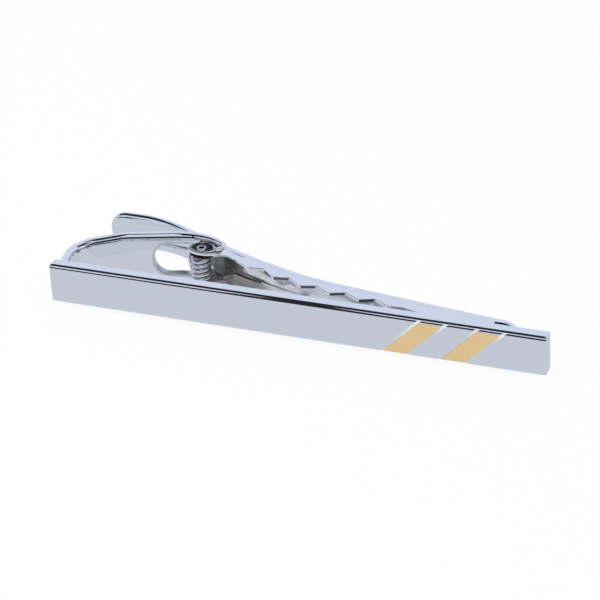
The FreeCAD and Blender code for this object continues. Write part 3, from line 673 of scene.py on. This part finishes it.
def ear_plate(low, high):
    """One ear: a plate from the lever round the pin, whose right side sweeps in an arch along the neck
    to the strip. Its outline, in the neck's own directions, is carried over two rounded edges from its
    lower to its upper face."""
    root = NECK_REACH + EAR_ROOT
    outline = through([
        (EAR_MIDDLE, root),
        (-EAR_RADIUS, root, 0.1),
        (-EAR_RADIUS, -EAR_RADIUS, EAR_CORNER),
        (EAR_RADIUS, -EAR_RADIUS, EAR_CORNER),
        (EAR_RADIUS, 0.35, 0.8),
        (1.95, ARCH_OFF, 1.2),
        (ARCH_END, ARCH_OFF, 0.1),
        (ARCH_END, root, 0.1),
        (EAR_MIDDLE, root),
    ], 0.1)
    sweep = np.linspace(0, np.pi / 2, 5)
    outwards = EAR_EDGE * (1 - np.sin(sweep))
    round_it = EAR_EDGE * (1 - np.cos(sweep))
    inset = np.concatenate([[2 * EAR_EDGE], outwards, round_it, [2 * EAR_EDGE]])
    height = np.concatenate([[low], low + round_it, high - outwards, [high]])
    along = outline.x[:, None] - inset * np.sin(outline.h)[:, None]
    off = outline.y[:, None] + inset * np.cos(outline.h)[:, None]
    x, y = neck_point(along, off)
    x[-1] = x[0]
    y[-1] = y[0]
    points, faces = skin(np.stack([x, y, height + 0 * x], axis=-1))
    # Faces near the lever take painted shade.
    kinds = np.where(outline.y[1:] < EAR_SHADE_OFF, LEVER_SHADE, PLAIN)
    return points, faces, np.repeat(kinds, height.size - 1)


def sheet_top(x):
    """Half the lever's height along its neck and jaw."""
    return np.interp(x, (NECK_END_X, JAW_START_X), (NECK_TOP, JAW_TOP))


def neck_hollow(plan, foot):
    """The hollow between the two ears: a section carried along the lever's inner face. Seen along the
    neck it is an ellipse from under the upper ear back to the lever and out to the lower ear, and it
    runs out flat at the strip."""
    along = np.linspace(HOLLOW_PLACES[0], HOLLOW_PLACES[-1], 70)
    depth = np.interp(along, HOLLOW_PLACES, HOLLOW_DEPTHS)
    depth = np.convolve(np.pad(depth, 4, mode="edge"), np.full(9, 1 / 9), mode="valid")[:, None]
    angle = np.linspace(np.pi / 2, -np.pi / 2, 49)
    hollow_off = HOLLOW_FLOOR + (depth - HOLLOW_LIP) * (1 - np.cos(angle))
    hollow_z = HOLLOW_TOP * np.sin(angle) + 0 * depth
    root = 0 * depth - HOLLOW_ROOT
    brim = 0 * depth + HOLLOW_TOP + HOLLOW_BRIM
    off = np.hstack([root, depth, hollow_off, depth, root])
    z = np.hstack([brim, brim, hollow_z, -brim, -brim])
    x, y = plan.at(foot + along[:, None] + 0 * off, -off)
    points, faces = skin(np.stack([x, y, z], axis=-1), across=True)
    # The hollow is painted in shade.
    return points, faces, np.full(len(faces), LEVER_SHADE)


def neck_ramp(plan, foot):
    """The lower lip of the hollow, run out along the strip: a wedge carried along the lever's inner
    face, with a narrow level step at its head and a slope forward and down to the lower ear."""
    along = np.linspace(RAMP_PLACES[0], RAMP_PLACES[-1], 60)
    head = np.interp(along, RAMP_PLACES, RAMP_HEADS)[:, None]
    step = np.interp(along, RAMP_PLACES, RAMP_STEPS)[:, None]
    none = 0 * head
    step_end = RAMP_BACK + step
    off = [none + RAMP_ROOT, none + RAMP_BACK, step_end, step_end + RAMP_BEVEL]
    off = np.hstack([*off, none + RAMP_FOOT_OFF, none + RAMP_ROOT])
    z = np.hstack([head, head, head, head - RAMP_BEVEL, none + RAMP_FOOT, none + RAMP_FOOT])
    x, y = plan.at(foot + along[:, None] + 0 * off, -off)
    points, faces = skin(np.stack([x, y, z], axis=-1), across=True)
    # The ramp takes painted shade; the edge of its head is a painted shadow line up to the turn and a
    # painted highlight streak after it.
    kinds = np.full((len(along) - 1, z.shape[1]), LEVER_RAMP)
    kinds[:, 1] = np.where(along[1:] < RAMP_TURN, LEVER_SHADOW_LINE, LEVER_HIGHLIGHT_STREAK)
    return points, faces, kinds.ravel()


def clip_lever():
    """The lever: a bent sheet from the thumb end to the tip, thicker at the thumb and narrow at the
    neck, two ears, the hollow between them and its ramp."""
    plan, foot_x = lever_plan()
    outline = through([
        (THUMB_X + THUMB_INSET, 0),
        (THUMB_X + THUMB_INSET, THUMB_TOP, THUMB_CORNER),
        (THUMB_END_X, THUMB_TOP, OUTLINE_BEND),
        (NECK_START_X, NECK_TOP, OUTLINE_BEND),
        (NECK_END_X, NECK_TOP, OUTLINE_BEND),
        (JAW_START_X, JAW_TOP, OUTLINE_BEND),
        (TIP_X, JAW_TOP, TIP_CORNER),
        (TIP_X, 0),
    ], 0.11)
    inner = np.interp(outline.x, THUMB_THINS, (THUMB_FRONT, 0))
    front_edge = np.interp(outline.x, THUMB_THINS, (THUMB_EDGE, JAW_EDGE))
    back_edge = np.interp(outline.x, THUMB_THINS, (THUMB_BACK_EDGE, JAW_BACK_EDGE))
    blade = bent_sheet(plan, outline, inner, LEVER_THICKNESS, front_edge, back_edge)
    upper_ear = ear_plate(COIL_HIGH + WIRE / 2 + UPPER_EAR_GAP, NECK_TOP - EAR_INSET)
    points, faces, kinds = ear_plate(-NECK_TOP + EAR_INSET, COIL_LOW - WIRE / 2 - LOWER_EAR_GAP)
    # The lower ear is painted in shade all over.
    lower_ear = points, faces, np.full_like(kinds, LEVER_SHADE)
    foot = plan.length_at(foot_x)
    return [blade, neck_hollow(plan, foot), neck_ramp(plan, foot), upper_ear, lower_ear]


def lip_line():
    """How far the strip's lips stand off the lever, against the length along it: teeth with rounded
    corners, and near the tip a straight run along the bar's back."""
    plan, foot_x = lever_plan()
    crests = np.append(FIRST_CREST + CREST_PITCH * np.arange(CREST_COUNT), LAST_CREST)
    valleys = crests[:-1] + VALLEY_SHARE * np.diff(crests)
    along = np.sort(np.concatenate([crests, valleys]))
    off = np.where(np.arange(len(along)) % 2, VALLEY_OFF, CREST_OFF)
    off[-2:] = LAST_VALLEY_OFF, LAST_OFF
    end = plan.length_at(STRIP_END_X) - plan.length_at(foot_x)
    teeth = zip(along, off, np.full(len(along), CREST_RADIUS))
    return through([(STRIP_START, STRIP_LEAD_OFF), *teeth, (end, END_OFF)], 0.08)


def grip_strip():
    """The strip: a channel carried along the lever's inner face. Its section runs from the lever
    forward over the top, round the toothed edge, down the upper lip, back up inside and down the web,
    and the same mirrored below."""
    plan, foot_x = lever_plan()
    teeth = lip_line()
    front = teeth.y[:, None]
    foot = plan.length_at(foot_x)
    top = (sheet_top(plan.at(foot + teeth.x)[0]) - STRIP_INSET)[:, None]
    inner = np.clip(front - STRIP_SHEET, STRIP_SHEET + WEB_GAP, front - LEAST_LIP)
    bend = np.linspace(0, np.pi / 2, 6)
    hem = np.linspace(0, np.pi, 7)
    bend_off = front - STRIP_BEND + STRIP_BEND * np.sin(bend)
    bend_z = top - STRIP_BEND + STRIP_BEND * np.cos(bend)
    hem_off = (front + inner) / 2 + (front - inner) / 2 * np.cos(hem)
    hem_z = top - STRIP_LIP + STRIP_HEM * (1 - np.sin(hem))
    off = np.hstack([0 * front - STRIP_ROOT, bend_off, hem_off, inner, 0 * front + STRIP_SHEET])
    z = np.hstack([top, bend_z, hem_z, top - STRIP_SHEET, top - STRIP_SHEET])
    half_rows = off.shape[1]
    off = np.hstack([off, off[:, ::-1]])
    z = np.hstack([z, -z[:, ::-1]])
    x, y = plan.at(foot + teeth.x[:, None] + 0 * off, -off)
    points, faces = skin(np.stack([x, y, z], axis=-1), across=True)
    row = np.arange(2 * half_rows)
    lip = np.isin(np.minimum(row, row[::-1]), LIP_ROWS)
    web = (row == half_rows - 1) | (row == half_rows)
    # The web takes painted reflections, the teeth's falling flanks painted shade and their forward corners
    # painted highlights.
    along = teeth.x[1:]
    fall = (np.diff(teeth.y) < -FLANK_FALL) & (along > FIRST_CREST + TOOTH_REACH) & (along < LAST_CREST)
    corner = (teeth.y[1:] > CREST_OFF - CORNER_DEPTH) & (along < LAST_CREST - TOOTH_REACH)
    tooth = np.select([corner, fall], [STRIP_CORNER_HIGHLIGHT, STRIP_SHADED_FLANK], PLAIN)[:, None]
    kinds = np.where(web, STRIP_WEB, np.where(lip, tooth, PLAIN))
    return [(points, faces, kinds.ravel())]


# The pin and the spring


def hinge_pin():
    """The pin turned from a profile: shank, sunk head painted dark as shade in each eye, and a bright
    dimpled ring.
    """
    head = [
        (SHANK_RADIUS, 0),
        (SHANK_RADIUS, HEAD_FOOT),
        (0.45, 2.12),
        (HEAD_RADIUS - 0.05, 2.13),
        (HEAD_RADIUS, 2.17),
        (HEAD_RADIUS, HEAD_TOP - 0.06),
        (HEAD_RADIUS - 0.03, HEAD_TOP - 0.01),
        (HEAD_RADIUS - 0.08, HEAD_TOP),
        (RING_RADIUS + 0.06, HEAD_TOP - 0.06),
        (RING_RADIUS, HEAD_TOP),
        (RING_RADIUS - 0.01, RING_TOP - 0.05),
        (RING_RADIUS - 0.06, RING_TOP - 0.01),
        (RING_RADIUS - 0.12, RING_TOP),
        (RING_RADIUS - 0.18, RING_TOP - 0.02),
        (0.34, RING_TOP - 0.1),
        (0.3, RING_TOP - 0.25),
        (0.26, RING_TOP - 0.42),
        (0, RING_TOP - 0.45),
    ]
    points, faces = turned(head, COIL_X, PIN_Y, PIN_SIDES)
    # All but the ring's rows are painted near black as shade.
    kinds = np.where(np.isin(np.arange(len(head) - 1), RING_ROWS), PLAIN, PIN_SHADE)
    upper = points, faces, np.tile(kinds, PIN_SIDES)
    return [upper, mirrored(upper)]


def torsion_spring():
    """The spring: a straight leg over the window's rim, turns that sink evenly round the pin, and a
    straight leg on the lever's inner face. Each leg leaves the coil on the tangent through the place
    where it rests."""
    axis = np.array((SPRING_X, PIN_Y))
    to_rim = RIM_REST - axis
    to_lever = LEVER_REST - axis
    rim_far = np.hypot(*to_rim)
    lever_far = np.hypot(*to_lever)
    first = math.atan2(to_rim[1], to_rim[0]) - math.acos(COIL_RADIUS / rim_far)
    last = math.atan2(to_lever[1], to_lever[0]) + math.acos(COIL_RADIUS / lever_far)
    turning = (first - last) % (2 * math.pi) + 2 * math.pi * COIL_TURNS
    share = np.linspace(0, 1, 360)
    angle = first - turning * share
    sunk = (share * (COIL_TURNS + PART_TURN) - LEVEL_TURN) / (COIL_TURNS + SINKING_TURN)
    height = COIL_HIGH + (COIL_LOW - COIL_HIGH) * np.clip(sunk, 0, 1)
    coil_x = axis[0] + COIL_RADIUS * np.cos(angle)
    coil_y = axis[1] + COIL_RADIUS * np.sin(angle)
    coil = np.stack([coil_x, coil_y, height], axis=-1)
    arm_run = math.sqrt(rim_far ** 2 - COIL_RADIUS ** 2) + LEG_OVERHANG
    lever_run = math.sqrt(lever_far ** 2 - COIL_RADIUS ** 2)
    leave = np.array((math.sin(first), -math.cos(first), 0))
    arrive = np.array((math.sin(last), -math.cos(last), 0))
    steps = np.linspace(1, 0, 30)[:-1, None]
    arm_leg = coil[0] - leave * arm_run * steps
    lever_leg = coil[-1] + arrive * lever_run * (1 - np.append(steps[1:], 0)[:, None])
    path, radii = rod_ends(np.vstack([arm_leg, coil, lever_leg]), WIRE / 2)
    return [tube(path, radii)]


# Materials


class Socket:
    """An output of a node; arithmetic on it adds Math nodes."""

    def __init__(self, paint, socket):
        self.paint = paint
        self.socket = socket

    def math(self, operation, *values):
        """A Math node on this output and other values."""
        inputs = {str(place): value for place, value in enumerate((self, *values))}
        return self.paint.node("ShaderNodeMath", {"operation": operation}, **inputs)["Value"]

    def __add__(self, other):
        return self.math("ADD", other)

    __radd__ = __add__

    def __sub__(self, other):
        return self.math("SUBTRACT", other)

    def __rsub__(self, other):
        return (self * -1.0) + other

    def __mul__(self, other):
        return self.math("MULTIPLY", other)

    __rmul__ = __mul__

    def between(self, low, high):
        """0 below low, 1 above high, and a smooth step between."""
        settings = {"interpolation_type": "SMOOTHSTEP"}
        inputs = {"0": self, "1": low, "2": high, "3": 0.0, "4": 1.0}
        return self.paint.node("ShaderNodeMapRange", settings, **inputs)["Result"]


class Outputs:
    """A node whose outputs are read by name."""

    def __init__(self, paint, node):
        self.paint = paint
        self.bare = node

    def __getitem__(self, name):
        return Socket(self.paint, self.bare.outputs[name])


class Paint:
    """The node tree of a material or of the world."""

    def __init__(self, owner):
        owner.use_nodes = True
        self.tree = owner.node_tree
        self.tree.nodes.clear()

    def node(self, kind, settings=None, **values):
        """A node of a kind: its settings are set, then its sockets, by name or number, linked or set."""
        bare = self.tree.nodes.new(kind)
        for name, value in (settings or {}).items():
            setattr(bare, name, value)
        for name, value in values.items():
            socket = bare.inputs[int(name) if name.isdigit() else name.replace("_", " ")]
            if isinstance(value, Socket):
                self.tree.links.new(value.socket, socket)
            elif socket.type == "RGBA":
                socket.default_value = (*value, 1)
            else:
                socket.default_value = value
        return Outputs(self, bare)

    def places(self, stretch=(1, 1, 1), turn=(0, 0, 0)):
        """Object coordinates in millimetres, stretched and turned for a pattern."""
        scale = tuple(value / MM for value in stretch)
        object_places = self.node("ShaderNodeTexCoord")["Object"]
        mapping = self.node("ShaderNodeMapping", Vector=object_places, Scale=scale, Rotation=turn)
        return mapping["Vector"]

    def noise(self, scale, detail=2.0, **pattern):
        """Noise with a number of waves per millimetre, from 0 to 1."""
        inputs = {"Vector": self.places(**pattern), "Scale": scale, "Detail": detail, "Roughness": 0.55}
        return self.node("ShaderNodeTexNoise", {"noise_dimensions": "3D"}, **inputs)["Fac"]

    def mix(self, share, first, second):
        """A colour between two colours."""
        node = self.node("ShaderNodeMix", {"data_type": "RGBA"}, **{"0": share, "6": first, "7": second})
        return Socket(self, node.bare.outputs[2])

    def principled(self, **inputs):
        """A Principled shader goes to the output."""
        self.finish(self.node("ShaderNodeBsdfPrincipled", **inputs)["BSDF"])

    def finish(self, shader):
        """The shader goes to the output of the material or world."""
        on_material = isinstance(self.tree.id_data, bpy.types.Material)
        self.node("ShaderNodeOutputMaterial" if on_material else "ShaderNodeOutputWorld", Surface=shader)


def new_paint(name):
    """A new material and its node tree."""
    material = bpy.data.materials.new(name)
    return material, Paint(material)


def chrome(name, tint=(0.93, 0.94, 0.96), dull=0.02, brushed=0.0, stretch=(0.15, 1, 1), metal=1.0):
    """Bright plating: a mirror tint, hazy polishing marks in the roughness, fine scratches in the
    normal, and faint dull patches."""
    material, paint = new_paint(name)
    haze = paint.noise(0.9, 3.0)
    marks = paint.noise(9.0, 2.0, stretch=stretch)
    patches = paint.noise(0.35, 4.0).between(0.6, 0.78)
    colour = paint.mix(patches * 0.12, tint, tuple(0.78 * part for part in tint))
    roughness = dull + 0.035 * haze + 0.05 * patches * marks + brushed * marks
    bump = paint.node("ShaderNodeBump", Strength=0.006 + brushed, Distance=0.00002, Height=marks)["Normal"]
    paint.principled(Base_Color=colour, Metallic=metal, Roughness=roughness, Normal=bump)
    return material


def shaded_steel(name, start, end):
    """Unpolished steel with painted shade: dark and brownish by the spring, paler from a start to an end
    along X.
    """
    material, paint = new_paint(name)
    along = paint.node("ShaderNodeSeparateXYZ", Vector=paint.places())["X"]
    pale = along.between(start, end)
    blotch = paint.noise(1.1, 3.0)
    dark = paint.mix(blotch, (0.24, 0.23, 0.21), (0.4, 0.385, 0.36))
    colour = paint.mix(pale, dark, (0.86, 0.87, 0.89))
    roughness = 0.22 + 0.12 * blotch
    paint.principled(Base_Color=colour, Metallic=0.65, Roughness=roughness)
    return material


def banded_web(name):
    """The strip's web: plating with long dark bands of painted reflection, where the lips and the bar's
    back would be mirrored in it.
    """
    material, paint = new_paint(name)
    bands = paint.noise(0.8, 2.0, stretch=(0.3, 1, 1.6)).between(0.42, 0.66)
    marks = paint.noise(9.0, 2.0)
    colour = paint.mix(bands, (0.95, 0.95, 0.95), (0.32, 0.32, 0.33))
    roughness = 0.08 + 0.08 * marks
    paint.principled(Base_Color=colour, Metallic=0.9, Roughness=roughness)
    return material


def cut_border(name, low, high):
    """A border with a painted highlight: polished at the foot, painted pale and matt from a low to a high
    place up it.
    """
    material, paint = new_paint(name)
    upright = paint.node("ShaderNodeSeparateXYZ", Vector=paint.places())["Z"]
    highlight_share = (upright - MIDDLE).between(low, high)
    marks = paint.noise(9.0, 2.0)
    colour = paint.mix(marks * 0.3, (0.96, 0.96, 0.97), (0.88, 0.88, 0.9))
    roughness = 0.05 + 0.1 * marks
    metal = 1.0 - highlight_share * 0.65
    paint.principled(Base_Color=colour, Metallic=metal, Roughness=roughness)
    return material


def satin_gold(name):
    """Satin gold: a fine crossed grain in the normal and roughness, and a slow drift of the tint."""
    material, paint = new_paint(name)
    drift = paint.noise(0.45, 2.0)
    grain = paint.noise(11.0, 2.0, stretch=(1, 1, 0.12), turn=(0, math.radians(41), 0))
    colour = paint.mix(drift * 0.6 + grain * 0.25, (0.98, 0.7, 0.34), (0.93, 0.65, 0.31))
    roughness = 0.3 + 0.14 * grain
    bump = paint.node("ShaderNodeBump", Strength=0.16, Distance=0.00003, Height=grain)["Normal"]
    paint.principled(Base_Color=colour, Metallic=0.6, Roughness=roughness, Normal=bump)
    return material


# The pieces


def close_ends(shape):
    """Fills each open end, loop by loop, with flat faces of the first material on its rim."""
    shape.edges.index_update()
    rims = {edge.index: edge for edge in shape.edges if edge.is_boundary}
    loops = []
    while rims:
        loop = [rims.pop(min(rims))]
        corners = list(loop[0].verts)
        while corners:
            more = [rims.pop(edge.index) for edge in corners.pop().link_edges if edge.index in rims]
            loop.extend(more)
            corners.extend(corner for edge in more for corner in edge.verts)
        loops.append(loop)
    for loop in loops:
        kind = min(edge.link_faces[0].material_index for edge in loop)
        made = bmesh.ops.triangle_fill(shape, use_beauty=True, use_dissolve=False, edges=loop)["geom"]
        flat = [item for item in made if isinstance(item, bmesh.types.BMFace)]
        if any(edge.is_boundary for edge in loop):
            bmesh.ops.delete(shape, geom=flat, context="FACES")
            flat = bmesh.ops.holes_fill(shape, edges=loop, sides=0)["faces"]
        for face in flat:
            face.material_index = kind


def piece(name, parts, materials, node):
    """One mesh of several surfaces: doubles merged, open ends filled, faces turned outwards, smoothly
    shaded. A surface may say which of the materials each of its faces takes."""
    points = np.vstack([part[0] for part in parts])
    starts = np.cumsum([0] + [len(part[0]) for part in parts[:-1]])
    faces = np.vstack([part[1] + start for part, start in zip(parts, starts)])
    kinds = np.concatenate([part[2] if len(part) > 2 else np.zeros(len(part[1]), int) for part in parts])
    mesh = bpy.data.meshes.new(name)
    mesh.from_pydata(row_frame(points), [], faces.tolist())
    for material in materials:
        mesh.materials.append(material)
    mesh.polygons.foreach_set("material_index", kinds.astype(np.int32))
    shape = bmesh.new()
    shape.from_mesh(mesh)
    bmesh.ops.remove_doubles(shape, verts=shape.verts, dist=MERGE_DISTANCE)
    bmesh.ops.dissolve_degenerate(shape, edges=shape.edges, dist=SLIVER)
    close_ends(shape)
    bmesh.ops.recalc_face_normals(shape, faces=shape.faces)
    shape.to_mesh(mesh)
    shape.free()
    mesh.shade_smooth()
    mesh.set_sharp_from_angle(angle=SHARP_ANGLE)
    made = bpy.data.objects.new(name, mesh)
    bpy.context.collection.objects.link(made)
    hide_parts(node)
    return made


bar_chrome = chrome("bar_chrome")
# Painted highlights: pale on the bar's channel walls, white on the left stripe's left wall and on a ring of
# the collar
pale_highlight = cut_border("pale_highlight", 0.6, 2.4)
white_highlight = cut_border("white_highlight", -1.2, 1.4)
sheet_chrome = chrome("sheet_chrome", dull=0.03)
roll_satin = chrome("roll_satin", tint=(0.6, 0.6, 0.61), dull=0.3, stretch=(1, 1, 1), metal=0.8)
cut_edge = chrome("cut_edge", tint=(0.8, 0.8, 0.8), dull=0.16, brushed=0.3, stretch=(1, 1, 1))
pin_chrome = chrome("pin_chrome", tint=(0.7, 0.7, 0.72), dull=0.05, stretch=(1, 1, 1))
grip_chrome = chrome("grip_chrome", dull=0.06)
# Painted shade, dark and brownish by the spring: the hollow, the ears and the ramp
hollow_shade_paint = shaded_steel("hollow_shade_paint", -11.0, -6.5)
ramp_shade_paint = shaded_steel("ramp_shade_paint", -6.5, -3.5)
# Painted shade on the teeth's falling flanks, and painted reflections on the strip's web
lip_shade_paint = chrome("lip_shade_paint", tint=(0.2, 0.2, 0.21), dull=0.2, stretch=(1, 1, 1))
web_reflection_paint = banded_web("web_reflection_paint")
# A painted highlight streak: on the ramp's head and on the teeth's forward corners
highlight_streak = cut_border("highlight_streak", -4.0, -3.0)
# Near black painted shade: the pin's head, a ring of the collar and the ramp's shadow line
painted_shade_black = chrome("painted_shade_black", tint=(0.035, 0.035, 0.04), dull=0.3, stretch=(1, 1, 1))
spring_wire = chrome("spring_wire", tint=(0.84, 0.84, 0.85), dull=0.03, stretch=(1, 1, 1))
gold_inlay = satin_gold("gold_inlay")

bar_paints = [bar_chrome, pale_highlight, white_highlight]
arm_paints = [sheet_chrome, cut_edge, roll_satin, white_highlight, painted_shade_black]
lever_paints = [sheet_chrome, hollow_shade_paint, painted_shade_black, highlight_streak, ramp_shade_paint]
strip_paints = [grip_chrome, lip_shade_paint, web_reflection_paint, highlight_streak]
left_stripe, right_stripe = (gold_stripe(middle) for middle in STRIPE_MIDDLES)
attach(piece("bar", [front_bar()], bar_paints, "front_bar"), "frame")
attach(piece("left_stripe", [left_stripe], [gold_inlay], "gold_stripe_left"), "frame")
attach(piece("right_stripe", [right_stripe], [gold_inlay], "gold_stripe_right"), "frame")
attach(piece("arm", return_arm(), arm_paints, "return_arm"), "frame")
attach(piece("pin", hinge_pin(), [pin_chrome, painted_shade_black], "hinge_pin"), "frame")
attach(piece("lever", clip_lever(), lever_paints, "clip_lever"), "lever")
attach(piece("strip", grip_strip(), strip_paints, "grip_strip"), "lever")
spring = piece("spring", torsion_spring(), [spring_wire], "torsion_spring")
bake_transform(spring)


# Floor, cards, light and camera


def stage_piece(name, part, material):
    """A piece of the studio, in metres."""
    mesh = bpy.data.meshes.new(name)
    mesh.from_pydata(part[0], [], part[1].tolist())
    mesh.shade_smooth()
    mesh.materials.append(material)
    made = bpy.data.objects.new(name, mesh)
    bpy.context.collection.objects.link(made)
    return made


def white_floor(name):
    """A matt pale floor. The camera sees it nearly white, with a share of its own shade left in so that
    the shadow shows, and shiny things see it pale grey."""
    material, paint = new_paint(name)
    path = paint.node("ShaderNodeLightPath")
    camera = path["Is Camera Ray"]
    shiny = (path["Is Glossy Ray"] + path["Is Transmission Ray"]).between(0.0, 1.0)
    shade = paint.mix(camera, (0.57, 0.61, 0.68), (1, 1, 1))
    seen = paint.node("ShaderNodeEmission", Color=shade, Strength=1.0)["Emission"]
    matt = paint.node("ShaderNodeBsdfDiffuse", Color=(0.8, 0.8, 0.8))["BSDF"]
    share = camera * 0.93 + shiny
    paint.finish(paint.node("ShaderNodeMixShader", **{"0": share, "1": matt, "2": seen})["Shader"])
    return material


def dark_card(name):
    """Black studio card."""
    material, paint = new_paint(name)
    paint.finish(paint.node("ShaderNodeEmission", Color=(0.02, 0.02, 0.025), Strength=1.0)["Emission"])
    return material


def sky_patch(low, high, side):
    """A patch of a sphere round the clip, at angles to the side, from low to high angles up."""
    side = np.radians(side)[:, None]
    share = np.linspace(0, 1, 40)
    up = np.radians(np.asarray(low)[:, None] * (1 - share) + np.asarray(high)[:, None] * share)
    grid = [np.sin(side) + 0 * up, -np.cos(side) * np.cos(up), np.cos(side) * np.sin(up)]
    return skin(CARD_DISTANCE * np.stack(grid, axis=-1))


def card(name, low, high, side):
    """A black card that only mirror-like surfaces see."""
    made = stage_piece(name, sky_patch(low, high, side), black_card)
    made.visible_camera = False
    made.visible_diffuse = False
    made.visible_shadow = False
    made.visible_transmission = False


black_card = dark_card("black_card")
left_sides = np.linspace(-60, -8, 53)
canopy_low = np.full(len(left_sides), CANOPY_LOW)
canopy_high = np.full(len(left_sides), CANOPY_HIGH)
card("left_canopy", canopy_low, canopy_high, left_sides)
card("right_canopy", canopy_low, canopy_high, -left_sides[::-1])
sides = np.linspace(-60, 60, 121)
swell = SWELL_HEIGHT * np.exp(-((sides - SWELL_PLACE) / SWELL_WIDTH) ** 4)
front_head = np.interp(sides, FRONT_PLACES, FRONT_HEADS) + swell
card("front_card", np.full(len(sides), FRONT_LOW), front_head, sides)
floor_edge = np.linspace(-FLOOR_HALF, FLOOR_HALF, 3)
floor_grid = np.stack(np.meshgrid(floor_edge, floor_edge, [0.0], indexing="ij"), axis=-1)
stage_piece("floor", skin(floor_grid[:, :, 0]), white_floor("white_floor"))


def studio_world():
    """White to the camera, pale blue-grey in reflections, soft even light for matt surfaces."""
    world = bpy.data.worlds.new("studio")
    bpy.context.scene.world = world
    paint = Paint(world)
    path = paint.node("ShaderNodeLightPath")
    shiny = (path["Is Glossy Ray"] + path["Is Transmission Ray"]).between(0.0, 1.0)
    soft = paint.mix(shiny, (0.62, 0.63, 0.66), (0.64, 0.70, 0.84))
    colour = paint.mix(path["Is Camera Ray"], soft, (1, 1, 1))
    paint.finish(paint.node("ShaderNodeBackground", Color=colour, Strength=1.0)["Background"])


def soft_lamp(name, place, size, power):
    """A square lamp that faces the clip; it lights matt surfaces and casts the shadow."""
    data = bpy.data.lights.new(name, "AREA")
    data.size = size
    data.energy = power
    lamp = bpy.data.objects.new(name, data)
    bpy.context.collection.objects.link(lamp)
    back = np.array(place, float)
    back /= np.linalg.norm(back)
    right = np.cross((0, 0, 1), back)
    right /= np.linalg.norm(right)
    turn = np.stack([right, np.cross(back, right), back], axis=-1)
    lamp.matrix_world = Matrix.Translation(place) @ Matrix(turn.tolist()).to_4x4()
    lamp.visible_glossy = False


def photo_camera():
    """The camera at the photograph's viewing angle: out from its target by azimuth, elevation and
    distance, rolled a little, with the focal length in pixels turned into millimetres on the sensor."""
    azimuth, elevation, roll = np.radians((CAMERA_AZIMUTH, CAMERA_ELEVATION, CAMERA_ROLL))
    level = np.cos(elevation)
    back = np.array((np.sin(azimuth) * level, -np.cos(azimuth) * level, np.sin(elevation)))
    right = np.array((np.cos(azimuth), np.sin(azimuth), 0))
    up = np.cross(back, right)
    tilted_right = np.cos(roll) * right + np.sin(roll) * up
    tilted_up = np.cos(roll) * up - np.sin(roll) * right
    place = row_frame(back * CAMERA_DISTANCE + CAMERA_TARGET)
    data = bpy.data.cameras.new("camera")
    data.sensor_width = SENSOR_WIDTH
    data.lens = SENSOR_WIDTH * CAMERA_FOCAL_PIXELS / IMAGE_WIDTH
    data.clip_start = 0.01
    camera = bpy.data.objects.new("camera", data)
    bpy.context.collection.objects.link(camera)
    turn = np.stack([tilted_right, tilted_up, back], axis=-1)
    camera.matrix_world = Matrix.Translation(place) @ Matrix(turn.tolist()).to_4x4()
    bpy.context.scene.camera = camera


studio_world()
soft_lamp("key_lamp", (-0.25, -0.3, 0.6), 0.4, 4.0)
photo_camera()
bpy.context.scene.view_settings.view_transform = "Standard"
